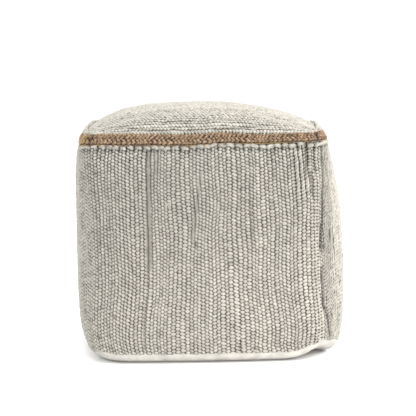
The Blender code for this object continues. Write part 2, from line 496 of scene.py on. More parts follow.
def map_faces(
    mesh: Mesh,
    across: Array,
    along: Array,
    slants: Array,
    period: float,
) -> None:
    """Gives a mesh a UV map that counts its ribs and beads, with each rib's beads on its own slant.

    Args:
        mesh: the mesh.
        across: rib count at each point.
        along: bead count at each point.
        slants: fall of a bead across each rib, in beads: a row for each step up the ribs, or only one.
        period: ribs in one round, or 0 where the ribs don't meet themselves.
    """
    points = np.empty(len(mesh.loops), np.int32)
    mesh.loops.foreach_get("vertex_index", points)
    faces = np.repeat(np.arange(len(mesh.polygons)), [len(face.vertices) for face in mesh.polygons])
    first = across[points]
    if period:
        highest = np.full(len(mesh.polygons), -1.0)
        np.maximum.at(highest, faces, first)
        first = np.where(highest[faces] - first > period / 2, first + period, first)
    lowest = np.full(len(mesh.polygons), np.inf)
    np.minimum.at(lowest, faces, first)
    rib = np.clip(np.floor(lowest[faces] + 1e-4), 0, slants.shape[1] - 1).astype(int)
    row = np.round(along[points] / along.max() * (len(slants) - 1)).astype(int)
    second = along[points] - slants[row, rib] * (first - rib - 0.5)
    layer = mesh.uv_layers.new(name="weave")
    layer.data.foreach_set("uv", np.column_stack([first, second]).ravel())


# --- The filled form ---


def level_way(angle: float) -> Vector:
    """The level direction at an angle about the axis."""
    return Vector((math.cos(angle), math.sin(angle), 0.0))


@dataclass
class FilledForm:
    """The filled pouf's skin, which every cloth is laid on."""

    nodes: dict[str, Object]
    voxel: float = 0.007
    pressure: float = 4.0
    slack: float = 0.004
    frames: int = 20
    most_swell: float = 0.0012
    sewn_within: float = 0.011
    directions: int = 720
    bearings: int = 240
    fan: float = 0.13
    tree: BVHTree = field(init=False)

    def build(self) -> None:
        """Swells the frame's solids and measures their places, seam and rim."""
        form = self.joined()
        remesh = form.modifiers.new("even", "REMESH")
        remesh.mode = "VOXEL"
        remesh.voxel_size = self.voxel
        calm = form.modifiers.new("calm", "SMOOTH")
        calm.factor = 0.5
        calm.iterations = 4
        keep_result(form)
        self.swell(form)
        self.tree = face_tree(form.data)
        bpy.data.objects.remove(form)
        self.measure_places()
        self.measure_seam()

    def joined(self) -> Object:
        """Copies the frame's cloth solids into one mesh.

        Returns:
            The joined object.
        """
        shape = bmesh.new()
        for name in ("side_band", "top_panel", "canvas_base"):
            shape.from_mesh(self.nodes[name].data)
        bmesh.ops.remove_doubles(shape, verts=shape.verts[:], dist=1e-5)
        mesh = bpy.data.meshes.new("filled_form")
        shape.to_mesh(mesh)
        shape.free()
        return add_object("filled_form", mesh)

    def swell(self, form: Object) -> None:
        """Blows the form up as a stuffed cover, held at its top seam and its foot.

        Args:
            form: the remeshed copy, whose points are moved.
        """
        before = point_array(form.data)
        held = form.vertex_groups.new(name="sewn")
        held.add(self.sewn_points(before), 1.0, "REPLACE")
        cover = form.modifiers.new("cover", "CLOTH")
        cover.settings.quality = 4
        cover.settings.bending_stiffness = 1.0
        cover.settings.use_pressure = True
        cover.settings.uniform_pressure_force = self.pressure
        cover.settings.vertex_group_mass = held.name
        cover.settings.shrink_min = -self.slack
        cover.settings.effector_weights.gravity = 0.0
        for frame in range(1, self.frames + 1):
            bpy.context.scene.frame_set(frame)
        keep_result(form)
        bpy.context.scene.frame_set(1)
        moved = point_array(form.data) - before
        far = np.linalg.norm(moved, axis=1)
        moved *= (np.minimum(far, self.most_swell) / np.maximum(far, 1e-9))[:, None]
        form.data.vertices.foreach_set("co", (before + moved).ravel())
        log.info("filled form: %d points swelled by %.1f mm on average", len(far), 1000 * far.mean())

    def sewn_points(self, points: Array) -> list[int]:
        """Finds the points that the top seam and the floor hold still.

        Args:
            points: the form's points.

        Returns:
            Their numbers.
        """
        braid, within = face_tree(self.nodes["jute_braid"].data), self.sewn_within
        return [
            number
            for number, point in enumerate(points)
            if point[2] < within or braid.find_nearest(Vector(point), within)[0] is not None
        ]

    def hit(self, start: Vector, way: Vector) -> Vector:
        """The first point of the skin on a ray."""
        found = self.tree.ray_cast(start, way)[0]
        return found if found is not None else start + way

    def sideways(self, angle: float, height: float) -> float:
        """How far the skin is from the axis in one direction at one height."""
        way = level_way(angle)
        return math.hypot(*self.hit(Vector((way.x, way.y, height)), -way).xy)

    def frame_at(self, angle: float, height: float, reach: float) -> tuple[Vector, Vector, Vector, float]:
        """Measures how the skin stands at one direction and height.

        Args:
            angle: the direction.
            height: the height.
            reach: how far above and below it the slope is measured.

        Returns:
            The level way there, the skin's upward and outward directions, and its distance from the axis.
        """
        way = level_way(angle)
        low, high = self.sideways(angle, height - reach), self.sideways(angle, height + reach)
        up = (way * (high - low) + Vector((0.0, 0.0, 2 * reach))).normalized()
        return way, up, Vector((-way.y, way.x, 0.0)).cross(up).normalized(), (low + high) / 2

    def from_above(self, x: float, y: float) -> float:
        """Height of the skin over a point of the floor."""
        return self.hit(Vector((x, y, 1.0)), Vector((0.0, 0.0, -1.0))).z

    def measure_places(self) -> None:
        """Finds the direction of every place at a few heights, in even steps between the sides' middles."""
        self.levels = np.linspace(0.012, 0.412, 21)
        self.turns = np.linspace(0.0, TURN, self.directions + 1) - math.pi / 2
        tables, rounds = [], []
        for level in self.levels:
            reach = np.array([self.sideways(angle, level) for angle in self.turns])
            steps = np.hypot(np.diff(reach * np.cos(self.turns)), np.diff(reach * np.sin(self.turns)))
            run = np.concatenate([[0.0], np.cumsum(steps)])
            middles = run[:: self.directions // SIDES]
            tables.append(np.interp(run, middles, 0.5 + np.arange(SIDES + 1)))
            rounds.append(run[-1])
        self.tables = np.array(tables)
        self.round = float(np.median(rounds))

    def angle(self, places: Array, heights: Array | float) -> Array:
        """Directions of places, fanned out towards the corners near the foot.

        Args:
            places: places round the pouf.
            heights: the height of each, or one for all.

        Returns:
            Angles about the axis.
        """
        places = np.asarray(places, float)
        heights = np.broadcast_to(np.asarray(heights, float), places.shape)
        fan = self.fan * smooth_step(0.16, 0.02, heights)
        shifted = places - fan * np.sin(TURN * places) / TURN
        laps = np.floor((shifted - 0.5) / SIDES)
        wanted = shifted - SIDES * laps
        found = np.array([np.interp(wanted, table, self.turns) for table in self.tables])
        level = (heights - self.levels[0]) / (self.levels[1] - self.levels[0])
        level = np.clip(level, 0, len(self.levels) - 1.001)
        lower = level.astype(int)
        share = level - lower
        column = np.arange(len(places))
        mixed = found[lower, column] * (1 - share) + found[lower + 1, column] * share
        return mixed + TURN * laps

    def measure_seam(self) -> None:
        """Reads the top seam's line off the braid and the band's lower edge off the canvas."""
        self.seam = self.ring_of("jute_braid", keep_highest=False)
        self.rim = self.ring_of("canvas_base", keep_highest=True)

    def ring_of(self, node: str, keep_highest: bool) -> tuple[Array, Array, Array]:
        """The line that a node follows round the pouf.

        Args:
            node: the frame's node.
            keep_highest: whether the line is the node's upper edge rather than its middle.

        Returns:
            Angles, radii and heights, in the order of the angles and with one turn more at each end.
        """
        mesh = self.nodes[node].data
        ends = point_array(mesh)[np.array([edge.vertices for edge in mesh.edges])]
        shares = np.linspace(0.0, 1.0, 12)[:, None, None]
        points = (ends[None, :, 0] * (1 - shares) + ends[None, :, 1] * shares).reshape(-1, 3)
        angles = np.arctan2(points[:, 1], points[:, 0])
        bins = np.round((angles + math.pi) / TURN * self.bearings).astype(int) % self.bearings
        found = []
        for step in range(self.bearings):
            chosen = points[bins == step]
            if not len(chosen):
                continue
            if keep_highest:
                chosen = chosen[chosen[:, 2] > chosen[:, 2].max() - 0.0006]
            middle = (chosen.max(0) + chosen.min(0)) / 2
            found.append((step / self.bearings * TURN - math.pi, math.hypot(*middle[:2]), middle[2]))
        ring = np.array(found)
        calm = np.array([0.25, 0.5, 0.25])
        for column in (1, 2):
            wrapped = np.concatenate([ring[-1:, column], ring[:, column], ring[:1, column]])
            ring[:, column] = np.convolve(wrapped, calm, mode="valid")
        turn = np.array([TURN, 0.0, 0.0])
        laps = np.concatenate([ring - turn, ring, ring + turn])
        return laps[:, 0], laps[:, 1], laps[:, 2]

    def stood(
        self, angles: Array, heights: Array, sizes: Array, lift: float, turns: Array
    ) -> Arrays:
        """Stands points over the skin.

        Args:
            angles: direction of each point.
            heights: its height.
            sizes: its size.
            lift: how far it stands off the skin.
            turns: how far its upward direction is turned clockwise, in radians.

        Returns:
            The points, their upward and outward directions, and the sizes.
        """
        points, ups, outs = [], [], []
        for angle, z, turn in zip(angles, heights, turns):
            way, up, out, reach = self.frame_at(angle, z, 0.004)
            points.append(way * reach + Vector((0.0, 0.0, z)) + out * lift)
            ups.append(up * math.cos(turn) + Vector((-way.y, way.x, 0.0)) * math.sin(turn))
            outs.append(out)
        return np.array(points), np.array(ups), np.array(outs), sizes

    def on_ring(self, ring: Arrays, angles: Array) -> tuple[Array, Array]:
        """Radius and height of a measured line in some directions."""
        wrapped = (np.asarray(angles) + math.pi) % TURN - math.pi
        return np.interp(wrapped, ring[0], ring[1]), np.interp(wrapped, ring[0], ring[2])


# --- Finishes ---


def weave_pattern() -> Tree:
    """The shader group that reads ribs and beads off the weave map.

    Returns:
        A group with the weave map and a mask for plain runs of rag as inputs, and as outputs the beads'
        pillow, the painted shade of the gaps between them, a random tint for each rib and each bead, fine
        fibres, and slow streaks along each rib.
    """
    takes = {"Weave": Kind.VECTOR, "Plain": 0.0, "Roundness": 2.2, "Raggedness": 0.55}
    names = ("Pillow", "Gap Shade", "Rib Tint", "Bead Tint", "Fibre", "Streak")
    w = new_group("ShaderNodeTree", "rag_weave", takes, dict.fromkeys(names, Kind.NUMBER))
    weave = w.take("Weave")
    wires = {"Vector": weave, "Scale": 1.1, "Detail": 2.0, "Roughness": 0.6}
    loose = w.split(w.value("ShaderNodeTexNoise", wires, "Color"))
    ribs, beads = (
        (aside - 0.5) * w.take("Raggedness") + count for aside, count in zip(loose[:2], w.split(weave))
    )
    rib = w.floor(ribs)
    shifted = beads + ((rib % 2.0) * 0.5 + 0.5)
    rib_tint = w.chance(rib)
    bead_tint = w.chance(w.math("MULTIPLY_ADD", rib, 61.7, w.floor(shifted)))
    merged = w.rise(along_rib(w, rib, beads, 5.7, 0.11), 0.62, 0.72) * 0.50
    plain = w.highest(w.take("Plain"), merged)
    side = from_middle(w, ribs) ** w.take("Roundness")
    end = from_middle(w, shifted) ** w.take("Roundness") * (1.0 - plain)
    outer = side * 0.85 + end * 0.8 + plain * 0.25
    # Painted shade in the gaps: dark holes where bead ends meet rib sides, lines down the grooves between
    # ribs, and creases between beads.
    hole_shade = w.rise(side + end, bead_tint * 0.36 + 0.53, 1.02)
    depth = w.rise(along_rib(w, w.math("ROUND", ribs), beads, 3.7, 0.16), 0.34, 0.66)
    line = w.rise(side, 0.56, 0.96) * (depth * 0.64 + 0.36)
    crease = w.rise(end, 0.58, 1.0) * (bead_tint * 0.40 + 0.24)
    made = (
        w.highest(1.0 - outer, 0.0) ** 0.6,
        w.highest(hole_shade, w.highest(line, crease)),
        rib_tint,
        bead_tint,
        w.noise(w.vector_math("MULTIPLY", weave, (5.0, 1.6, 1.0)), 1.7, 3.0, 0.6),
        along_rib(w, rib, beads, 9.3, 0.09),
    )
    return w.give(dict(zip(names, made)))


def along_rib(w: Wiring, rib: Value, beads: Value, apart: float, pace: float) -> Value:
    """Noise that changes slowly along each rib and differs from rib to rib.

    Args:
        w: the tree's wiring.
        rib: the rib's number.
        beads: the bead count.
        apart: distance between two ribs in the noise.
        pace: how far one bead moves through the noise.

    Returns:
        The noise, from 0 to 1.
    """
    return w.noise(w.combine(rib * apart, beads * pace), 1.0, 2.0, 0.6)


def from_middle(w: Wiring, value: Value) -> Value:
    """How far a count is from the middle of its whole step, from 0 there to 1 at the step's ends."""
    return abs(w.math("FRACT", value) * 2.0 - 1.0)


def yarn_pattern() -> Tree:
    """The shader group for loose yarn: streaks of fibre along it and slow changes of tone over the object.

    Returns:
        A group with the position and the ways along and around the yarn as inputs, and a tone and a height
        as outputs.
    """
    takes = {"Position": Kind.VECTOR, "Along": 0.0, "Around": 0.0, "Streaks": 2.2, "Patches": 60.0}
    w = new_group("ShaderNodeTree", "yarn_streaks", takes, {"Tone": Kind.NUMBER, "Height": Kind.NUMBER})
    place = w.take("Position")
    wound = w.combine(w.take("Along"), w.take("Around"))
    strand = w.vector_math("ADD", wound, w.vector_math("SCALE", place, 30.0))
    fine = w.noise(strand, w.take("Streaks"), 3.0)
    return w.give({"Tone": fine * 0.55 + w.noise(place, w.take("Patches")) * 0.45, "Height": fine})


@dataclass(frozen=True)
class Finish:
    """What every finish has: a name, a roughness and a soft sheen."""

    name: str
    roughness: float
    sheen: float

    def start(self) -> tuple[Material, Wiring]:
        """Starts an empty material.

        Returns:
            The material and its wiring.
        """
        made = bpy.data.materials.new(self.name)
        made.use_nodes = True
        made.node_tree.nodes.clear()
        return made, Wiring(made.node_tree)

    def coat(self, w: Wiring, colour: Value, height: Value, depth: float) -> None:
        """Ends a material with its shader.

        Args:
            w: the material's wiring.
            colour: the base colour.
            height: what a Bump node raises.
            depth: how far it raises it.
        """
        bump = w.value("ShaderNodeBump", {"Height": height, "Distance": depth, "Strength": 1.0})
        wires = {"Base Color": colour, "Normal": bump, "Roughness": self.roughness}
        wires |= {"Sheen Weight": self.sheen, "Sheen Roughness": 0.6, "Specular IOR Level": 0.18}
        w.add("ShaderNodeOutputMaterial", {"Surface": w.value("ShaderNodeBsdfPrincipled", wires)})


@dataclass(frozen=True)
class RagCotton(Finish):
    """Undyed rag-woven cotton: beads with a painted highlight on top and painted shade down their sides and in
    the gaps between them, and ribs that differ a little in tone.
    """

    # The colour just below is a painted highlight on each bead's top; the body colour is painted shade down
    # its sides.
    crest_highlight: Colour = (0.308, 0.295, 0.261)
    body: Colour = (0.108, 0.101, 0.086)
    # Painted shade in the gaps between beads and ribs.
    gap_shade: Colour = (0.019, 0.016, 0.011)
    bead_depth: float = 0.0018

    def dress(self, pattern: Tree) -> Material:
        """Makes the material.

        Args:
            pattern: the shared weave group.

        Returns:
            The material, which reads the map "weave" and the attributes "plain" and "shade".
        """
        made, w = self.start()
        plain, shade = w.attribute("plain"), w.attribute("shade")
        read = w.use(pattern, {"Weave": w.value("ShaderNodeUVMap", uv_map="weave"), "Plain": plain})
        pillow, fibre = read["Pillow"], read["Fibre"]
        # Painted highlight and shade: by its pillow, each bead runs from the body colour on its sides to the
        # bright colour on top.
        pale = w.blend(w.rise(pillow, 0.06, 0.84), self.body, self.crest_highlight)
        tint = read["Rib Tint"] * 0.10 + read["Bead Tint"] * 0.28 + fibre * 0.30
        tint = w.rise(read["Streak"], 0.30, 0.70) * 0.14 + tint + 0.62
        toned = w.blend(1.0, pale, w.combine(tint, tint, tint), "MULTIPLY")
        # Painted shade: the gaps' shade and the points' shade attribute darken the colour; on the tops of
        # beads the attribute's shade is lifted a little.
        crest_shade_lift = pillow * (1.0 - plain) * (shade * -0.7 + 0.8)
        dark = w.highest(read["Gap Shade"], shade * (1.0 - crest_shade_lift))
        self.coat(w, w.blend(dark, toned, self.gap_shade), fibre * 0.18 + pillow, self.bead_depth)
        return made


@dataclass(frozen=True)
class Yarn(Finish):
    """Loose or looped yarn without a weave, from a dark tone to a pale one."""

    pale: Colour
    dark: Colour
    gilt: Colour = (0.265, 0.172, 0.062)
    streaks: float = 2.2
    patches: float = 60.0
    depth: float = 0.0006

    def dress(self, pattern: Tree) -> Material:
        """Makes the material.

        Args:
            pattern: the shared yarn group.

        Returns:
            The material, which reads the attributes "along", "around", "shade" and "gilt".
        """
        made, w = self.start()
        wires = {"Position": w.value("ShaderNodeTexCoord", output="Object")}
        wires |= {"Along": w.attribute("along"), "Around": w.attribute("around")}
        read = w.use(pattern, {**wires, "Streaks": self.streaks, "Patches": self.patches})
        base = w.blend(w.rise(read["Tone"], 0.36, 0.62), self.dark, self.pale)
        lit = w.blend(w.attribute("gilt"), base, self.gilt)
        # Painted shade: where the shade attribute is set, the yarn darkens towards a sixth of its dark tone.
        painted_shade_colour = tuple(0.16 * part for part in self.dark)
        self.coat(w, w.blend(w.attribute("shade"), lit, painted_shade_colour), read["Height"], self.depth)
        return made


@dataclass(frozen=True)
class Canvas(Finish):
    """Plain cream canvas with a fine square weave and faint creasing, whose creases are darkened with painted
    shade.
    """

    pale: Colour = (0.425, 0.410, 0.381)
    dark: Colour = (0.335, 0.321, 0.294)
    thread: float = 0.0011
    depth: float = 0.0004

    def dress(self) -> Material:
        """Makes the material.

        Returns:
            The material, which reads Object coordinates and the attribute "shade".
        """
        made, w = self.start()
        place = w.value("ShaderNodeTexCoord", output="Object")
        x, y, z = w.split(w.vector_math("SCALE", place, TURN / self.thread))
        threads = w.sine(x + y) * w.sine(z + y * 0.5) * 0.5 + 0.5
        tone = threads * 0.25 + w.noise(place, 90.0, 4.0, 0.6) * 0.75
        plain = w.blend(w.rise(tone, 0.3, 0.62), self.dark, self.pale)
        # Painted shade: where the shade attribute is set, the canvas darkens towards three tenths of its dark
        # tone.
        painted_shade_colour = tuple(0.3 * part for part in self.dark)
        self.coat(w, w.blend(w.attribute("shade"), plain, painted_shade_colour), tone, self.depth)
        return made


# --- The weave ---


def weave_relief() -> Tree:
    """The Geometry Nodes tree that raises ribs and beads on a lattice of cloth.

    Returns:
        A tree that reads the point attributes rib, bead, plain, ease and sink, and moves each point along
        its normal: up on a bead, down in the crease between two beads and in the groove between two ribs.
    """
    takes = {"Cloth": Kind.GEOMETRY, "Bead Height": 0.0012, "Groove Depth": 0.0019, "Unevenness": 0.0002}
    takes |= {"Seed": 1, "Material": Kind.MATERIAL}
    w = new_group("GeometryNodeTree", "weave_relief", takes, {"Cloth": Kind.GEOMETRY})
    rib = w.floor(w.named("rib") + 0.0001)
    across = (w.named("rib") - rib) * 2.0 - 1.0
    count = w.named("bead") + (rib % 2.0) * 0.5
    bulge = 1.0 - abs(across) ** 2.6
    number = rib * 997.0 + w.floor(count + 0.5)
    grain = w.random(-1.0, 1.0, Seed=w.take("Seed"))
    size = w.random(-1.0, 1.0, Seed=w.take("Seed"), ID=number)
    beaded = w.math("COSINE", count * TURN) * (1.0 - w.named("plain"))
    bead = beaded * bulge * w.take("Bead Height") * (size * 0.35 + 1.0)
    groove = (bulge - 0.55) * w.take("Groove Depth")
    rough = (grain + size) * w.take("Unevenness")
    height = (bead + groove + rough) * w.named("ease") - w.named("sink")
    lift = w.vector_math("SCALE", w.value("GeometryNodeInputNormal"), height)
    wires = {"Geometry": w.take("Cloth"), "Offset": lift}
    return w.give_dressed("Cloth", w.value("GeometryNodeSetPosition", wires))


@dataclass(frozen=True)
class Mark:
    """Something on the band that runs upright or leans, from a low end to a high end."""

    place: float
    low: float
    high: float

    def away(self, places: Array, heights: Array) -> Array:
        """How far each point is from the mark's line, as a place."""
        line = self.place + self.lean * (heights - self.low) / (self.high - self.low)
        return np.abs(round_distance(places, line))


@dataclass(frozen=True)
class Crease(Mark):
    """A crease in the band, sunk into the relief and darkened with painted shade."""

    depth: float
    width: float
    shade: float
    ragged: float = 0.0
    lean: float = 0.0


@dataclass(frozen=True)
class PlainRun(Mark):
    """A length of rag that lies along its rib without beads; its shade is painted shade over the run."""

    swell: float = 0.0
    half_width: float = 0.0038
    shade: float = 0.0
    lean: float = 0.0


# Each row: place, low, high, depth, width, shade, raggedness and lean; the shade is painted shade along the
# crease.
CREASES = (
    Crease(0.228, 0.018, 0.394, 0.0030, 0.0034, 0.72, 0.2, 0.009),
    Crease(0.250, 0.180, 0.394, 0.0016, 0.0028, 0.42, 0.3, 0.009),
    Crease(0.055, 0.060, 0.160, 0.0014, 0.0030, 0.30, 0.3, -0.030),
    Crease(0.137, 0.140, 0.295, 0.0012, 0.0028, 0.50, 0.2),
    Crease(0.320, 0.020, 0.090, 0.0010, 0.0028, 0.35, 0.3),
    Crease(0.410, 0.218, 0.270, 0.0018, 0.0030, 0.60, 0.2),
    Crease(0.429, 0.255, 0.325, 0.0022, 0.0034, 0.66, 0.3, -0.004),
    Crease(0.470, 0.020, 0.180, 0.0010, 0.0028, 0.40, 0.3),
    Crease(0.562, 0.090, 0.260, 0.0012, 0.0030, 0.35, 0.3),
    Crease(0.662, 0.210, 0.335, 0.0028, 0.0036, 0.68, 0.2),
    Crease(0.687, 0.095, 0.165, 0.0016, 0.0032, 0.50, 0.3),
    Crease(0.760, 0.105, 0.240, 0.0018, 0.0040, 0.48, 0.2),
    Crease(0.762, 0.320, 0.390, 0.0020, 0.0034, 0.52, 0.3),
    Crease(0.810, 0.020, 0.120, 0.0010, 0.0028, 0.35, 0.3),
    Crease(0.856, 0.285, 0.380, 0.0024, 0.0034, 0.62, 0.2, -0.006),
    Crease(0.905, 0.322, 0.396, 0.0044, 0.0040, 1.25, 0.4, 0.006),
    Crease(0.930, 0.285, 0.350, 0.0036, 0.0038, 1.20, 0.4, -0.002),
    Crease(0.950, 0.330, 0.396, 0.0044, 0.0040, 1.25, 0.4),
    Crease(0.989, 0.300, 0.394, 0.0034, 0.0032, 1.20, 0.9, 0.005),
    Crease(0.976, 0.186, 0.312, 0.0048, 0.0050, 1.90, 0.8, 0.014),
    Crease(0.969, 0.194, 0.252, 0.0048, 0.0064, 2.10, 0.95, 0.008),
    Crease(0.969, 0.084, 0.178, 0.0046, 0.0058, 2.00, 0.85, 0.004),
    Crease(1.014, 0.030, 0.118, 0.0040, 0.0044, 1.50, 0.7, -0.048),
    Crease(1.025, 0.206, 0.244, 0.0036, 0.0034, 0.85, 0.4),
    Crease(1.050, 0.190, 0.228, 0.0030, 0.0034, 0.75, 0.4),
    Crease(1.060, 0.050, 0.088, 0.0030, 0.0036, 0.75, 0.3),
    Crease(1.310, 0.090, 0.390, 0.0020, 0.0040, 0.45, 0.2),
    Crease(1.610, 0.050, 0.260, 0.0024, 0.0040, 0.50, 0.2),
    Crease(1.930, 0.320, 0.394, 0.0040, 0.0040, 0.85, 0.5),
    Crease(2.060, 0.310, 0.394, 0.0040, 0.0042, 0.85, 0.5),
    Crease(2.380, 0.030, 0.330, 0.0028, 0.0040, 0.60, 0.2),
    Crease(2.700, 0.120, 0.390, 0.0020, 0.0040, 0.45, 0.2),
    Crease(2.950, 0.320, 0.394, 0.0040, 0.0040, 0.85, 0.5),
    Crease(3.330, 0.050, 0.350, 0.0028, 0.0040, 0.55, 0.2),
    Crease(3.690, 0.100, 0.310, 0.0018, 0.0040, 0.45, 0.2),
)

PLAIN_RUNS = (
    PlainRun(0.239, 0.170, 0.394, half_width=0.0050, shade=0.40, lean=0.009),
    PlainRun(0.278, 0.335, 0.394, half_width=0.0046, shade=0.36),
    PlainRun(0.421, 0.224, 0.350, half_width=0.0032, shade=0.34, lean=0.038),
    PlainRun(0.420, 0.222, 0.246, swell=0.0022, half_width=0.0042),
    PlainRun(0.320, 0.278, 0.296, swell=0.0016, half_width=0.0042),
    PlainRun(1.420, 0.120, 0.230, shade=0.2),
    PlainRun(1.780, 0.250, 0.340, shade=0.1),
    PlainRun(2.230, 0.150, 0.290, shade=0.2),
    PlainRun(2.640, 0.060, 0.160, shade=0.1),
    PlainRun(3.180, 0.200, 0.330, shade=0.2),
    PlainRun(3.560, 0.090, 0.210, shade=0.1),
)

# Small hollows between beads, as place and height: each is sunk a little and darkened with painted shade.
HOLLOWS = (
    (0.740, 0.358), (0.015, 0.310), (0.025, 0.346), (0.430, 0.217), (0.430, 0.222), (0.080, 0.150),
    (0.100, 0.090), (-0.075, 0.094), (0.025, 0.050), (0.600, 0.030), (0.655, 0.028), (0.580, 0.072),
    (1.015, 0.082), (1.060, 0.070), (0.440, 0.048), (0.990, 0.206), (0.984, 0.213), (0.986, 0.236),
    (0.966, 0.204),
)


def in_rib(rib: Array, ribs: int) -> tuple[Array, Array]:
    """Finds where rib counts lie in their ribs.

    Args:
        rib: the rib counts.
        ribs: how many ribs there are.

    Returns:
        The number of each one's rib, and its way across from the rib's middle, or 0 in the first groove.
    """
    whole = np.minimum(np.floor(rib + HAIR), ribs - 1).astype(int)
    inside = rib - whole - 0.5
    return whole, inside * (inside > -0.49)


@dataclass
class WovenBand:
    """The woven strip round the pouf's four sides, with its filling behind it."""

    form: FilledForm
    ribs: int = 240
    rib_steps: int = 3
    bead_pitch: float = 0.0066
    rib_uneven: float = 0.11
    tightening: float = 0.12
    wander: float = 0.14
    stray_hollows: int = 46
    zigzag: float = 0.11
    slant: float = 0.20
    sway: float = 0.0040
    slip: float = 0.0006
    tuck: float = 0.010
    lowest: float = 0.013
    seam_height: float = 0.4005
    narrowed: Rows = ((1.055, 0.36, 0.060), (0.90, 0.12, 0.080), (0.15, 0.16, 0.080))
    foot_lifts: Rows = ((0.965, 0.0065, 0.024), (1.010, -0.0030, 0.020), (0.020, 0.0040, 0.050))
    seed: int = 7

    def __post_init__(self) -> None:
        """Draws the widths and slants of the ribs."""
        chance = np.random.default_rng(self.seed)
        widths = np.exp(self.rib_uneven * np.clip(chance.standard_normal(self.ribs), -1.8, 1.7))
        middles = (np.cumsum(widths) - widths / 2) * SIDES / widths.sum()
        for place, less, width in self.narrowed:
            widths *= 1 - less * hump(middles, place, width, 4)
        self.edges = np.concatenate([[0.0], np.cumsum(widths)]) * SIDES / widths.sum()
        for crease in CREASES:
            nearest = int(np.argmin(np.abs(self.edges[1:-1] - crease.place))) + 1
            if crease.shade > 0.3 and abs(crease.lean) < 0.01:
                reach = np.maximum(0.0, 1 - np.abs(np.arange(self.ribs + 1) - nearest) / 5)
                reach[[0, -1]] = 0.0
                self.edges += (crease.place + crease.lean / 2 - self.edges[nearest]) * reach
        self.slants = self.slant * np.clip(chance.standard_normal(self.ribs), -1.6, 1.6)
        self.slips = self.slip * chance.standard_normal(self.ribs)
        self.turns = chance.random((3, self.ribs))
        self.waves = np.array([[2.1], [4.7], [8.3]]) * (0.8 + 0.4 * chance.random((3, self.ribs)))

    def edges_at(self, share: float, row: int) -> Array:
        """Places of the grooves between the ribs in one row of points.

        Args:
            share: the row's share of the way up the band.
            row: the row's number, two to a bead.

        Returns:
            The places, which wander up the band and make way for each bead.
        """
        heights = np.array([[0.5], [0.35], [0.25]])
        wave = (heights * np.sin(TURN * (self.waves * share + self.turns))).sum(0)
        aside = np.where((np.arange(self.ribs) + row) % 2, 1.0, -1.0)
        shift = self.wander * wave + self.zigzag * aside
        spread = self.sway * SIDES / self.form.round * math.sin(math.pi * share)
        together = drift(self.edges / SIDES + 0.05 * math.sin(5.0 * share), 23, (4.0, 7.0, 11.0))
        together *= 1 - hump(self.edges, CREASES[0].place, 0.09)
        return self.edges + SIDES / self.ribs * np.append(shift, shift[0]) + spread * together

    def build(self, relief: Tree, finish: Material) -> Object:
        """Lays the lattice of ribs and beads on the form and raises it.

        Args:
            relief: the tree that raises the weave.
            finish: the woven cotton.

        Returns:
            The band, closed above and below by the filling's flat ends.
        """
        rib = np.arange(self.ribs * self.rib_steps) / self.rib_steps
        shares = self.row_shares()
        points, places = self.laid(shares, rib)
        rows, count = points.shape[:2]
        low, last = rows * count, (rows - 1) * count
        faces = lattice_faces(rows, count, closed=True)
        faces += [((n + 1) % count, n, low) for n in range(count)]
        faces += [(last + n, last + (n + 1) % count, low + 1) for n in range(count)]
        ends = np.array([points[0].mean(0), points[-1].mean(0)])
        band = add_piece("woven_band", np.vstack([points.reshape(-1, 3), ends]), faces)
        bead = np.arange(rows) / 2
        whole, fall = in_rib(rib, self.ribs)
        slants = self.slants[None, :] + self.hatch(shares)
        slanted = bead[:, None] - slants[:, whole] * fall[None, :]
        across, along = np.tile(rib, rows), np.repeat(bead, count)
        for name, values in {"rib": across, "bead": slanted, **self.masks(places, points)}.items():
            store(band.data, name, values)
        map_faces(band.data, np.append(across, (0, 0)), np.append(along, (0, 0)), slants, self.ribs)
        run_geometry(band, relief, {"Seed": 3, "Material": finish})
        return band

    def hatch(self, shares: Array) -> Array:
        """More slant for the beads where the front right corner pulls the cloth askew.

        Args:
            shares: share of the way up of each row.

        Returns:
            The slant to add for each row and rib.
        """
        middles = (self.edges[1:] + self.edges[:-1]) / 2
        upper = (np.abs(round_distance(middles, 0.885)) < 0.034) * smooth_step(0.70, 0.78, shares)[:, None]
        corner = np.abs(round_distance(middles, 1.09)) < 0.10
        return 0.95 * upper + 0.85 * corner

    def row_shares(self) -> Array:
        """Spaces the rows of points in steps that tighten upwards, two to a bead.

        Returns:
            Each row's share of the way up, from the band's lower edge to the seam.
        """
        share = np.linspace(0.0, 1.0, 400)
        height = self.lowest + share * (self.seam_height - self.lowest)
        reach = np.array([self.form.sideways(-math.pi / 2, z) for z in height])
        tighter = 1 + self.tightening * (share[1:] - 0.36)
        run = np.concatenate([[0.0], np.cumsum(np.hypot(np.diff(reach), np.diff(height)) * tighter)])
        steps = 2 * round(run[-1] / self.bead_pitch)
        return np.interp(np.linspace(0.0, run[-1], steps + 1), run, share)

    def foot(self, places: Array) -> Array:
        """How far above the canvas rim's top the band ends.

        Args:
            places: places round the pouf.

        Returns:
            The height over the rim at each.
        """
        lift = 0.0026 + 0.0004 * drift(places / SIDES, 51, (19.0, 31.0, 47.0))
        for place, more, width in self.foot_lifts:
            lift += more * hump(places, place, width)
        return lift

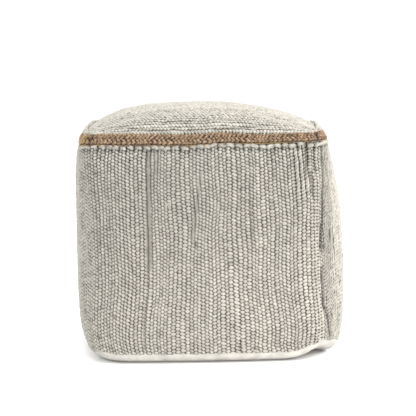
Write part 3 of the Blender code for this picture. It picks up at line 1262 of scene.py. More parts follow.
    def laid(self, shares: Array, rib: Array) -> tuple[Array, Array]:
        """Points of the lattice on the form.

        Args:
            shares: share of the way up of each row.
            rib: rib count of each column.

        Returns:
            The points, as rows by columns by three, and the place of each.
        """
        middle = np.append(np.arange(-0.5, self.ribs), self.ribs + 0.5)
        slips = np.interp(rib, middle, np.concatenate([self.slips[-1:], self.slips, self.slips[:1]]))
        numbers = np.arange(self.ribs + 1)
        points, all_places = [], []
        for row, share in enumerate(shares):
            places = np.interp(rib, numbers, self.edges_at(share, row))
            inside = math.sin(math.pi * share) ** 0.5 if 0 < share < 1 else 0.0
            warp = 0.0016 * drift(places / SIDES, 11, (5.0, 9.0, 16.0)) * math.cos(5.0 * share + 1.0)
            rough = self.form.angle(places, 0.01 + 0.39 * share)
            _, low = self.form.on_ring(self.form.rim, rough)
            _, high = self.form.on_ring(self.form.seam, rough)
            low = low + self.foot(places) + slips * max(0.0, 1 - 12 * share)
            z = low + (high - low) * share + inside * (warp + slips)
            angles = self.form.angle(places, z)
            reach = np.array([self.form.sideways(a, h) for a, h in zip(angles, z)])
            points.append(np.column_stack([reach * np.cos(angles), reach * np.sin(angles), z]))
            all_places.append(places)
        return self.calmed(np.array(points)), np.array(all_places)

    def calmed(self, points: Array) -> Array:
        """Takes the form's small facets out of the lattice, sideways only.

        Args:
            points: the lattice.

        Returns:
            The calmer lattice.
        """
        reach = np.hypot(points[:, :, 0], points[:, :, 1])
        ways = points[:, :, :2] / reach[:, :, None]
        for _ in range(2):
            reach = calm_round(reach, 1)
            reach[1:-1] = (reach[:-2] + 2 * reach[1:-1] + reach[2:]) / 4
        return np.concatenate([ways * reach[:, :, None], points[:, :, 2:]], axis=2)

    def masks(self, places: Array, points: Array) -> dict[str, Array]:
        """What the relief and the finish read at each point besides ribs and beads.

        Args:
            places: place of each point.
            points: the lattice.

        Returns:
            The masks: ease, sink, shade, which is painted shade in creases, hollows, plain runs and between
                the turned wefts, and plain.
        """
        z = points[:, :, 2]
        below, above = z[-1][None, :] - z, z - z[0][None, :]
        ease = smooth_step(0.0, self.tuck, below) * smooth_step(-0.002, 0.004, above)
        sink = 0.0014 * (1 - smooth_step(0.006, self.tuck + 0.006, below))
        sink -= 0.0012 * (1 - smooth_step(0.003, 0.010, above))
        shade, plain = np.zeros_like(z), np.zeros_like(z)
        chance = np.random.default_rng(self.seed + 2)
        step = self.form.round / SIDES
        for crease in CREASES:
            away = crease.away(places, z) * step
            end = min(0.016, 0.4 * (crease.high - crease.low))
            fade = window(crease.low, crease.high, end, 0.6 * end, z)
            torn = 0.45 * (np.arange(len(z))[:, None] % 2) + 0.25 * chance.random((len(z), 1))
            fade *= 1 - crease.ragged * (torn + 0.3 * chance.random(z.shape))
            sink += crease.depth * fade * bell(away, crease.width)
            # Painted shade down the middle of the crease.
            dark = crease.shade * fade * bell(away, 0.6 * crease.width)
            shade = np.maximum(shade, np.minimum(dark, 1.0))
        for run in PLAIN_RUNS:
            away = run.away(places, z) * step
            near = window(run.low, run.high, 0.008, 0.008, z)
            near *= 1 - smooth_step(run.half_width - 0.0010, run.half_width + 0.0012, away)
            plain = np.maximum(plain, near)
            # Painted shade over the plain run.
            shade = np.maximum(shade, run.shade * near)
            sink -= run.swell * near
        for place, height, reach, dark in self.hollows():
            near = dark * bell(np.hypot(round_distance(places, place) * step, 0.8 * (z - height)), reach)
            # Painted shade in each hollow.
            shade = np.maximum(shade, near)
            sink += 0.0012 * near
        # Painted shade between the turned wefts under the braid.
        shade = np.maximum(shade, self.knob_shade(places, below))
        plain = np.maximum(plain, 0.46 * hump(places, 1.11, 0.11, 4))
        return {"ease": ease, "sink": sink, "shade": shade, "plain": plain}

    def hollows(self) -> list[tuple[float, float, float, float]]:
        """Lists the small hollows between beads, sunk a little and darkened with painted shade.

        Returns:
            Place, height, reach and painted shade of each.
        """
        chance = np.random.default_rng(self.seed + 4)
        found = [(place, height, 0.0030, 0.95) for place, height in HOLLOWS]
        for _ in range(self.stray_hollows):
            place, height = chance.uniform(0.0, SIDES), chance.uniform(0.03, 0.385)
            found.append((place, height, chance.uniform(0.0020, 0.0030), chance.uniform(0.45, 0.9)))
        return found

    def knob_shade(self, places: Array, below: Array) -> Array:
        """Painted shade in the holes between the turned wefts under the braid.

        Args:
            places: place of each point.
            below: how far each point lies below the seam.

        Returns:
            How much painted shade each point has.
        """
        count = np.interp(places % SIDES, self.edges, np.arange(self.ribs + 1)) / 2
        between = np.abs((count + 0.5) % 1.0 - 0.5)
        across = 1 - smooth_step(0.08, 0.40, between)
        return across * bell(below - 0.0170, 0.0036)

    def pair_places(self) -> Array:
        """Places where two ribs meet in a turned weft at the upper selvedge."""
        return self.edges[1 : self.ribs : 2]


@dataclass(frozen=True)
class TopGroove:
    """A groove between two rows of the top, as points seen from above, how far it is sunk and how much painted
    shade it has.
    """

    line: Rows
    shade: float
    depth: float = 0.0016
    width: float = 0.0034


TOP_GROOVES = (
    TopGroove(((-0.198, -0.160), (-0.150, -0.186), (-0.108, -0.1985), (-0.073, -0.207)), 0.55),
    TopGroove(
        ((0.000, -0.206), (0.012, -0.205), (0.053, -0.198), (0.092, -0.186), (0.132, -0.176)), 0.80, 0.0024
    ),
    TopGroove(((-0.100, -0.178), (-0.053, -0.178), (0.090, -0.171)), 0.42),
    TopGroove(((-0.195, -0.143), (-0.163, -0.135), (-0.130, -0.138)), 0.60),
    TopGroove(((-0.150, -0.020), (-0.080, -0.080), (-0.060, -0.085)), 0.45),
    TopGroove(((0.100, -0.140), (0.160, -0.128)), 0.45),
    TopGroove(((-0.020, 0.060), (0.120, 0.074)), 0.45),
    TopGroove(((-0.150, 0.120), (-0.020, 0.128)), 0.50),
)


@dataclass
class WovenTop:
    """The square of the same cloth over the crown, its ribs running left to right."""

    form: FilledForm
    ribs: int = 52
    rib_steps: int = 4
    beads: int = 68
    bead_steps: int = 4
    corner_start: float = 0.180
    plain_runs: int = 7
    flattened: float = 0.20
    seed: int = 21

    def outline(self) -> tuple[Array, Array]:
        """The seam's line seen from above.

        Returns:
            Its angles and radii.
        """
        angles = np.linspace(-math.pi, math.pi, 1441)
        reach, _ = self.form.on_ring(self.form.seam, angles)
        return angles, reach

    def edge_line(self, x: Array, back: bool) -> Array:
        """The front or back edge, level past the start of the corners.

        Args:
            x: where it is read.
            back: whether it is the back edge.

        Returns:
            Its y at each x.
        """
        angles, reach = self.outline()
        px, py = reach * np.cos(angles), reach * np.sin(angles)
        chosen = (py > 0.1 if back else py < -0.1) & (np.abs(px) < self.corner_start + 0.01)
        order = np.argsort(px[chosen])
        held = np.clip(x, -self.corner_start, self.corner_start)
        return np.interp(held, px[chosen][order], py[chosen][order])

    def half_width(self, share: float, side: int) -> float:
        """How far a row of cloth reaches to one side before it meets the seam.

        Args:
            share: the row's way from the front, 0, to the back, 1.
            side: -1 for the left or 1 for the right.

        Returns:
            The reach, in metres.
        """
        angles, reach = self.outline()
        x = side * np.linspace(0.12, 0.26, 281)
        y = self.edge_line(x, False) * (1 - share) + self.edge_line(x, True) * share
        inside = np.hypot(x, y) < np.interp(np.arctan2(y, x), angles, reach)
        return float(abs(x[inside][-1])) if inside.any() else 0.12

    def build(self, relief: Tree, finish: Material) -> Object:
        """Lays the rows of cloth on the crown and raises them.

        Args:
            relief: the tree that raises the weave.
            finish: the woven cotton.

        Returns:
            The top.
        """
        chance = np.random.default_rng(self.seed)
        widths = np.exp(0.12 * chance.standard_normal(self.ribs))
        widths[:2] *= 1.12
        edges = np.concatenate([[0.0], np.cumsum(widths)]) / widths.sum()
        slants = 0.20 * np.clip(chance.standard_normal(self.ribs), -1.6, 1.6)
        lines, steps = self.ribs * self.rib_steps + 1, self.beads * self.bead_steps + 1
        rib, bead = np.arange(lines) / self.rib_steps, np.arange(steps) / self.bead_steps
        points = self.laid(np.interp(rib, np.arange(self.ribs + 1), edges), rib, bead)
        top = add_piece("woven_top", points.reshape(-1, 3), lattice_faces(lines, steps, closed=False))
        whole, fall = in_rib(rib, self.ribs)
        slanted = bead[None, :] - (slants[whole] * fall)[:, None]
        across = np.repeat(rib, steps)
        for name, values in {"rib": across, "bead": slanted, **self.masks(points)}.items():
            store(top.data, name, values)
        map_faces(top.data, across, np.tile(bead, lines), slants[None, :], 0)
        run_geometry(top, relief, {"Unevenness": 0.00016, "Seed": 5, "Material": finish})
        return top

    def laid(self, shares: Array, rib: Array, bead: Array) -> Array:
        """Points of the lattice on the crown.

        Args:
            shares: each line's way from the front edge, 0, to the back edge, 1.
            rib: rib count of each line.
            bead: bead count of each step along a line.

        Returns:
            An array of lines by steps by three.
        """
        rows = []
        whole = np.abs(rib - np.round(rib)) < HAIR
        for number, share in enumerate(shares):
            left, right = self.half_width(share, -1), self.half_width(share, 1)
            x = -left + (left + right) * bead / self.beads
            reach = math.sin(math.pi * share)
            wave = 0.0022 * drift(x / 0.45 + 0.3 * share, 31, (1.3, 2.7, 4.1)) * reach
            own = drift(x / 0.45, 60 + number // self.rib_steps, (3.0, 6.0))
            wave += 0.0005 * own * whole[number] * reach
            side = whole[number] * (-1) ** round(rib[number] + 1)
            wave += 0.0009 * side * reach * np.cos(TURN * bead)
            y = self.edge_line(x, False) * (1 - share) + self.edge_line(x, True) * share + wave
            z = [self.form.from_above(a, b) for a, b in zip(x, y)]
            rows.append(np.column_stack([x, y, z]))
        points = np.array(rows)
        height = points[:, :, 2]
        for _ in range(3):
            beside = height[:-2, 1:-1] + height[2:, 1:-1] + height[1:-1, :-2] + height[1:-1, 2:]
            height[1:-1, 1:-1] = height[1:-1, 1:-1] / 2 + beside / 8
        return points

    def masks(self, points: Array) -> dict[str, Array]:
        """What the relief and the finish read at each point besides ribs and beads.

        Args:
            points: the lattice.

        Returns:
            The masks: ease, sink, shade, which is painted shade in the grooves, and plain.
        """
        angles, reach = self.outline()
        x, y = points[:, :, 0], points[:, :, 1]
        inside = np.interp(np.arctan2(y, x), angles, reach) - np.hypot(x, y)
        ease = smooth_step(0.001, 0.005, inside)
        sink = 0.0008 * (1 - smooth_step(0.001, 0.007, inside))
        chance = np.random.default_rng(self.seed + 1)
        shade, plain = np.zeros_like(x), np.full_like(x, self.flattened)
        lines = np.arange(len(points)) / self.rib_steps
        for _ in range(self.plain_runs):
            row = 0.5 + chance.integers(6, self.ribs - 4)
            start = chance.uniform(-0.16, 0.10)
            near = (np.abs(lines - row) < 0.45)[:, None] * (np.abs(x - start - 0.025) < 0.022)
            plain = np.maximum(plain, near)
        for groove in TOP_GROOVES:
            along, level = np.array(groove.line).T
            fade = window(along[0], along[-1], 0.012, 0.012, x)
            fade *= bell(y - np.interp(x, along, level), groove.width)
            near = fade * (1 - 0.5 * chance.random(x.shape))
            # Painted shade along the groove.
            shade = np.maximum(shade, groove.shade * near)
            sink += groove.depth * near
        return {"ease": ease, "sink": sink, "shade": shade, "plain": plain}


# --- The plaited braid ---

PATH_VALUES = {
    "middle": "FLOAT_VECTOR",
    "up": "FLOAT_VECTOR",
    "out": "FLOAT_VECTOR",
    "spread": "FLOAT",
    "dip": "FLOAT",
    "gilt": "FLOAT",
    "upper_gilt": "FLOAT",
    "lower_gilt": "FLOAT",
    "shade": "FLOAT",
}


def many_lines(w: Wiring, steps: Any, amount: Any) -> tuple[Value, Value]:
    """Copies a straight line that runs from 0 to 1 along X.

    Args:
        w: the tree's wiring.
        steps: points along each line.
        amount: how many lines.

    Returns:
        The lines, and the number of each.
    """
    line = w.value("GeometryNodeCurvePrimitiveLine", {"Start": (0.0, 0.0, 0.0), "End": (1.0, 0.0, 0.0)})
    fine = w.value("GeometryNodeResampleCurve", {"Curve": line, "Count": steps})
    many = w.add("GeometryNodeDuplicateElements", {"Geometry": fine, "Amount": amount}, domain="SPLINE")
    return Value(w, many.outputs[0]), Value(w, many.outputs[1])


def tube(w: Wiring, curve: Value, sides: int, radius: Value, scale: Any = 1.0) -> Value:
    """Makes a tube that keeps the ways along and around it, for the finish to lay its fibres.

    Args:
        w: the tree's wiring.
        curve: what it runs along.
        sides: how many sides it has.
        radius: its radius.
        scale: how much of the radius each point has.

    Returns:
        The tube.
    """
    ring = w.value("GeometryNodeCurvePrimitiveCircle", {"Resolution": sides, "Radius": radius})
    length = w.value("GeometryNodeSplineParameter", output="Length") * FIBRE_PACE
    wound = w.keep(ring, "around", w.value("GeometryNodeInputIndex"))
    wires = {"Curve": w.keep(curve, "along", length), "Profile Curve": wound, "Scale": scale}
    return w.value("GeometryNodeCurveToMesh", {**wires, "Fill Caps": True})


def yarn_tubes(w: Wiring, curves: Value, place: Value, radius: Value) -> Value:
    """Tubes along curves that are moved to a place first, on the braid straightened out."""
    moved = w.value("GeometryNodeSetPosition", {"Geometry": curves, "Position": place})
    return tube(w, moved, 6, radius)


def plaited_yarns(w: Wiring) -> Value:
    """The strands, an odd number, each passing over and under the others along a straight line.

    Args:
        w: the plait tree's wiring.

    Returns:
        The strands' tubes.
    """
    curves, number = many_lines(w, w.take("Steps"), w.take("Strands"))
    curves = w.keep(w.keep(curves, "strand", number), "cord", 0.0)
    start, strand = w.split(w.position())[0], w.named("strand")
    phase = start * (w.take("Repeats") * TURN) + strand * TURN / w.take("Strands")
    phase = uneven(w, start, 6.5, 0.0) * 3.2 + phase
    side = w.sine(phase) * w.take("Half Width")
    raised = w.sine(phase * (w.take("Strands") - 1.0)) * w.take("Half Depth")
    side = uneven(w, start, 48.0, strand * 9.7) * 0.0032 + side
    raised = uneven(w, start, 28.0, strand * 9.7 + 60.0) * 0.0022 + raised
    return yarn_tubes(w, curves, w.combine(start * SEAM_ROUND, side, raised), w.take("Yarn Radius"))


def edge_cords(w: Wiring) -> Value:
    """A thin cord along each edge of the plait.

    Args:
        w: the plait tree's wiring.

    Returns:
        The two cords' tubes.
    """
    curves, number = many_lines(w, w.take("Steps"), 2)
    start = w.split(w.position())[0]
    side = (number * 2.0 - 1.0) * w.take("Edge")
    curves = w.keep(w.keep(curves, "cord", 1.0), "side", side)
    sway = w.sine(start * w.take("Repeats") * (3 * TURN)) * 0.0005
    place = w.combine(start * SEAM_ROUND, w.named("side") + sway, -0.0010)
    return yarn_tubes(w, curves, place, w.take("Cord Radius"))


def uneven(w: Wiring, start: Value, pace: float, apart: Any) -> Value:
    """Noise that closes on itself along the round.

    Args:
        w: the tree's wiring.
        start: each point's share of the round, from 0 to 1.
        pace: how fast it changes.
        apart: which noise it is.

    Returns:
        The noise, from -0.5 to 0.5.
    """
    angle = start * TURN
    return w.noise(w.combine(w.math("COSINE", angle) * pace, w.sine(angle) * pace, apart), 1.0, 1.0) - 0.5


def beside_path(w: Wiring, length: Value, value: Value, kind: str) -> Value:
    """A value of the path beside a point of the plait, mixed between its two nearest path points.

    Args:
        w: the plait tree's wiring.
        length: how far along the plait the point is.
        value: what to read at the path's points.
        kind: "FLOAT" or "FLOAT_VECTOR".

    Returns:
        The mixed value.
    """
    step = length / SEAM_ROUND * w.take("Path Points")
    lower = w.floor(step)
    ends = []
    for index in (lower, lower + 1.0):
        wires = {"Geometry": w.take("Path"), "Value": value, "Index": index % w.take("Path Points")}
        ends.append(w.value("GeometryNodeSampleIndex", wires, data_type=kind, domain="POINT"))
    keys, output, mixed = ((0, 2, 3), 0, "FLOAT") if kind == "FLOAT" else ((0, 4, 5), 1, "VECTOR")
    return w.value("ShaderNodeMix", dict(zip(keys, (step - lower, *ends))), output, data_type=mixed)


def plait_tree() -> Tree:
    """The Geometry Nodes tree that plaits yarns and lays them along a path.

    Returns:
        A tree whose inputs are the path, a ring of points with the values in PATH_VALUES, and the plait's
        sizes.
    """
    takes = {"Path": Kind.GEOMETRY, "Path Points": 960.0, "Repeats": 44.0, "Strands": 5, "Steps": 1900}
    takes |= {"Half Width": 0.0076, "Half Depth": 0.0022, "Yarn Radius": 0.0022, "Cord Radius": 0.0010}
    takes |= {"Edge": 0.0104, "Lift": 0.0028, "Material": Kind.MATERIAL}
    w = new_group("GeometryNodeTree", "flat_plait", takes, {"Braid": Kind.GEOMETRY})
    both = w.add("GeometryNodeJoinGeometry")
    for part in (plaited_yarns(w), edge_cords(w)):
        w.feed(both.inputs[0], part)
    length, side, depth = w.split(w.position())
    read = {}
    for name, kind in PATH_VALUES.items():
        wanted = w.position() if name == "middle" else w.named(name, kind)
        read[name] = beside_path(w, length, wanted, kind)
    upward = w.vector_math("SCALE", read["up"], side * read["spread"])
    outward = w.vector_math("SCALE", read["out"], depth + w.take("Lift") - read["dip"])
    final = w.vector_math("ADD", w.vector_math("ADD", read["middle"], upward), outward)
    cord, is_upper = w.named("cord"), w.math("GREATER_THAN", side, 0.0)
    edge_gilt = cord * (is_upper * read["upper_gilt"] + (1.0 - is_upper) * read["lower_gilt"])
    # Painted shade on the strands where they lie low in the plait, on top of the path's painted shade at the
    # joint and the fold; the edge cords get none.
    shade = w.highest(read["shade"], w.rise(depth, 0.0032, -0.0006) * (1.0 - cord))
    kept = w.keep(Value(w, both.outputs[0]), "gilt", w.highest(read["gilt"], edge_gilt))
    laid = w.value("GeometryNodeSetPosition", {"Geometry": w.keep(kept, "shade", shade), "Position": final})
    smooth = w.value("GeometryNodeSetShadeSmooth", {0: laid})
    wires = {"Geometry": smooth, "Distance": 0.00002}
    return w.give_dressed("Braid", w.value("GeometryNodeMergeByDistance", wires))


@dataclass
class JutePlait:
    """The flat jute plait over the top seam, whose ends meet at the front right corner."""

    form: FilledForm
    path_points: int = 960
    repeats: float = 44.0
    joint_place: float = 0.969
    fold_place: float = 0.004
    tuck_depth: float = 0.0022
    spreads: Rows = ((0.08, 0.12, 0.14), (0.80, -0.22, 0.17))
    upper_runs: Rows = ((0.10, 0.09), (0.37, 0.04))
    lower_runs: Rows = ((0.055, 0.035), (0.74, 0.12), (0.42, 0.03))

    def path(self) -> Object:
        """Sets out the seam's line.

        Returns:
            Its points, each with its frame and what changes along the braid.
        """
        places = SIDES * np.arange(self.path_points) / self.path_points
        angles = self.form.angle(places, 0.40)
        _, height = self.form.on_ring(self.form.seam, angles)
        line, ups, outs = [], [], []
        tucked = self.on_sides(places)
        for angle, z, drop in zip(angles, height, self.tuck_depth * tucked):
            way, up, out, _ = self.form.frame_at(angle, z, 0.006)
            line.append(way * self.form.sideways(angle, z - drop) + Vector((0.0, 0.0, z - drop)))
            ups.append(up)
            outs.append(out)
        piece = add_piece("jute_plait", self.calmed(np.array(line)), [])
        store(piece.data, "up", self.calmed(np.array(ups)), vectors=True)
        store(piece.data, "out", self.calmed(np.array(outs)), vectors=True)
        joint = np.abs(round_distance(places, self.joint_place))
        fold = np.abs(round_distance(places, self.fold_place))
        spread = 1.0 + 0.05 * drift(places / SIDES, 5, (3.0, 7.0, 13.0)) - 0.14 * bell(joint, 0.015)
        for place, more, width in self.spreads:
            spread += more * hump(places, place, width)
        # The joint and the fold are dipped in and darkened with painted shade.
        notch = bell(joint, 0.008) + 0.8 * bell(fold, 0.006)
        numbers = {
            "spread": spread - 0.08 * tucked,
            "dip": self.tuck_depth * notch + self.tuck_depth * tucked,
            "shade": np.clip(0.9 * notch, 0.0, 0.9),
            "gilt": 0.85 * smooth_step(0.085, 0.065, np.abs(round_distance(places, 3.900))),
            "upper_gilt": self.edge_gilt(places, 9, self.upper_runs),
            "lower_gilt": self.edge_gilt(places, 10, self.lower_runs),
        }
        for name, values in numbers.items():
            store(piece.data, name, values)
        return piece

    def edge_gilt(self, places: Array, seed: int, runs: Rows) -> Array:
        """Where the cord of one edge is yellow: in the front's runs, and here and there elsewhere.

        Args:
            places: places along the braid.
            seed: which cord it is.
            runs: middle and half length of each run on the front.

        Returns:
            How yellow the cord is, from 0 to 1.
        """
        on_front = smooth_step(-0.02, 0.02, places) * smooth_step(1.02, 0.98, places)
        stray = 0.1 + 1.3 * drift(places / SIDES, seed, (5.0, 11.0, 19.0))
        yellow = np.clip(stray, 0.0, 0.9) * (1 - on_front)
        for middle, half in runs:
            away = np.abs(round_distance(places, middle))
            yellow = np.maximum(yellow, smooth_step(half, 0.7 * half, away))
        return 0.9 * yellow

    def on_sides(self, places: Array) -> Array:
        """Where the top's turned wefts press the braid down: 1 along the left and right sides."""
        return smooth_step(0.46, 0.40, np.abs(places % 2 - 1.5))

    def calmed(self, values: Array) -> Array:
        """Smooths values along the closed path.

        Args:
            values: a row for each of the path's points.

        Returns:
            The smoother rows.
        """
        for _ in range(6):
            values = calm_round(values, 0)
        return values

    def build(self, finish: Material) -> Object:
        """Plaits the braid along its path.

        Args:
            finish: the jute.

        Returns:
            The braid.
        """
        piece = self.path()
        values = {"Path Points": float(self.path_points), "Repeats": self.repeats, "Material": finish}
        run_geometry(piece, plait_tree(), values)
        return piece


# --- Turned wefts at the selvedges ---


def loops_tree() -> Tree:
    """The Geometry Nodes tree that puts a turned weft on each point of a line.

    Returns:
        A tree that reads the point attributes up, out and size, and makes one short bent tube a point.
    """
    takes = {"Points": Kind.GEOMETRY, "Loop Width": 0.0122, "Loop Height": 0.0030, "Weft Radius": 0.0036}
    takes |= {"Start": 0.10, "Sweep": 2.94, "Unevenness": 0.14, "Seed": 4, "Material": Kind.MATERIAL}
    w = new_group("GeometryNodeTree", "turned_wefts", takes, {"Loops": Kind.GEOMETRY})
    wires = {"Resolution": 9, "Radius": 1.0, "Start Angle": w.take("Start"), "Sweep Angle": w.take("Sweep")}
    arc = w.value("GeometryNodeCurveArc", wires)
    size = w.combine(w.take("Loop Width") * 0.5, w.take("Loop Height"), 1.0)
    bent = w.value("GeometryNodeTransform", {"Geometry": arc, "Scale": size})
    from_end = abs(w.value("GeometryNodeSplineParameter", output="Factor") * 2.0 - 1.0)
    loop = tube(w, bent, 7, w.take("Weft Radius"), (1.0 - from_end**4.0 * 0.9) ** 0.5)
    wires = {0: w.named("out", "FLOAT_VECTOR"), 1: w.named("up", "FLOAT_VECTOR")}
    turn = w.value("FunctionNodeAxesToRotation", wires, primary_axis="Z", secondary_axis="Y")
    low, high = 1.0 - w.take("Unevenness"), w.take("Unevenness") + 1.0
    scales = [w.random(low, high, Seed=w.take("Seed") + float(step)) for step in range(3)]
    tilt = w.random(-0.35, 0.35, Seed=w.take("Seed") + 9.0)
    lean = w.value("FunctionNodeAxisAngleToRotation", {0: (0.0, 0.0, 1.0), 1: tilt})
    both = w.value("FunctionNodeRotateRotation", {0: turn, 1: lean}, rotation_space="LOCAL")
    wires = {"Points": w.take("Points"), "Instance": loop, "Rotation": both}
    wires |= {"Scale": w.vector_math("SCALE", w.combine(*scales), w.named("size"))}
    copies = w.value("GeometryNodeInstanceOnPoints", wires)
    real = w.value("GeometryNodeRealizeInstances", {0: copies})
    return w.give_dressed("Loops", w.value("GeometryNodeSetShadeSmooth", {0: real}))


@dataclass
class TurnedWefts:
    """Loops where wefts turn at a selvedge: below the braid all round, and on the top's two sides."""

    form: FilledForm
    below_seam: float = 0.0138
    above_seam: float = 0.0090
    top_pairs: int = 24
    bumps: Rows = ((1.21, 0.5), (3.78, 0.5))

    def band_line(self, places: Array) -> Arrays:
        """Sets out the loops under the braid.

        Args:
            places: where each pair of ribs meets.

        Returns:
            The loops' points, ups, outs and sizes.
        """
        chance = np.random.default_rng(17)
        angles = self.form.angle(places, 0.39)
        _, seam = self.form.on_ring(self.form.seam, angles)
        heights = seam - self.below_seam + 0.0008 * chance.standard_normal(len(places))
        sizes = 1.0 + 0.06 * chance.standard_normal(len(places))
        return self.form.stood(angles, heights, sizes, 0.0002, np.zeros(len(places)))

    def top_line(self) -> Arrays:
        """Sets out the loops on the left and right sides of the top.

        Returns:
            The loops' points, ups, outs and sizes.
        """
        chance = np.random.default_rng(18)
        slips = 0.15 * chance.standard_normal(self.top_pairs)
        share = 0.09 + 0.82 * ((np.arange(self.top_pairs) + 0.5 + slips) / self.top_pairs)
        places = np.concatenate([1.00 + share, 3.00 + share])
        angles = self.form.angle(places, 0.40)
        _, seam = self.form.on_ring(self.form.seam, angles)
        sizes = 0.92 + 0.12 * chance.standard_normal(len(places))
        for place, more in self.bumps:
            sizes[np.argmin(np.abs(places - place))] += more
        return self.form.stood(angles, seam + self.above_seam, sizes, 0.0042, np.full(len(places), math.pi))


def build_loops(
    name: str,
    line: Arrays,
    finish: Material,
    sizes: dict[str, float] | None = None,
) -> Object:
    """Makes loops on points as one piece.

    Args:
        name: the piece's name.
        line: points, ups, outs and sizes.
        finish: the weft's finish.
        sizes: inputs of the loops' tree that differ from its own.

    Returns:
        The piece.
    """
    points, ups, outs, scales = line
    piece = add_piece(name, points, [])
    store(piece.data, "up", ups, vectors=True)
    store(piece.data, "out", outs, vectors=True)
    store(piece.data, "size", scales)
    run_geometry(piece, loops_tree(), {"Material": finish, **(sizes or {})})
    return piece


class End(Enum):
    """Kinds of loose rag on the band."""

    RING = "loose_rings"
    NUB = "loose_nubs"
    TAIL = "loose_tails"


LOOP_SIZES = ("Loop Width", "Loop Height", "Weft Radius", "Start", "Sweep")
END_SIZES = {
    End.RING: (0.0075, 0.0034, 0.0010, 0.0, 5.9),
    End.NUB: (0.0042, 0.0018, 0.0024, 0.2, 2.8),
    End.TAIL: (0.0150, 0.0060, 0.0008, 0.3, 1.9),
}
# Each row: place, height, size and turn.
LOOSE_ENDS = {
    End.RING: (
        (0.460, 0.234, 1.15, 0.3),
        (0.300, 0.150, 1.00, 0.9),
        (0.525, 0.146, 0.85, 2.0),
        (0.440, 0.044, 0.90, 1.2),
        (0.015, 0.304, 1.00, 0.4),
        (0.100, 0.262, 0.70, 2.8),
        (0.880, 0.226, 0.75, 1.0),
        (1.075, 0.411, 1.70, 0.2),
    ),
    End.NUB: (
        (0.322, 0.288, 1.15, 0.4),
        (0.220, 0.324, 0.90, 1.3),
        (0.565, 0.216, 0.95, 0.8),
        (0.810, 0.312, 0.85, 1.9),
        (0.655, 0.022, 1.00, 0.2),
        (0.990, 0.200, 1.00, 1.6),
        (-0.195, 0.266, 0.95, 0.6),
        (-0.225, 0.194, 0.90, 1.4),
        (-0.220, 0.170, 0.80, 0.9),
        (1.250, 0.174, 1.20, 1.5),
        (1.100, 0.236, 0.70, 1.5),
        (3.860, 0.410, 1.70, 0.9),
        (3.450, 0.418, 1.70, 0.3),
        (1.350, 0.423, 1.50, 0.1),
    ),
    End.TAIL: (
        (0.580, 0.078, 0.80, 1.1),
        (0.995, 0.208, 0.80, 1.5),
        (0.090, 0.140, 0.75, 0.7),
        (0.730, 0.264, 0.60, 2.4),
    ),
}


@dataclass
class LooseEnds:
    """Rings, nubs and loose ends of rag that stand off the band here and there."""

    form: FilledForm
    elsewhere: int = 9
    seed: int = 33

    def line(self, kind: End) -> Arrays:
        """Sets out one kind: the front's own, and stray ones on the other sides.

        Args:
            kind: which kind.

        Returns:
            The loops' points, ups, outs and sizes.
        """
        chance = np.random.default_rng(self.seed + len(kind.value))
        ranges = ((1.1, 3.9), (0.03, 0.37), (0.7, 1.1), (0, 3))
        stray = [[chance.uniform(*ends) for ends in ranges] for _ in range(self.elsewhere)]
        places, heights, sizes, turns = np.array([*LOOSE_ENDS[kind], *stray]).T
        return self.form.stood(self.form.angle(places, heights), heights, sizes, 0.0006, turns)

    def build(self, kind: End, finish: Material) -> Object:
        """Makes every loose end of one kind as a piece."""
        return build_loops(kind.value, self.line(kind), finish, dict(zip(LOOP_SIZES, END_SIZES[kind])))


# --- The canvas base ---


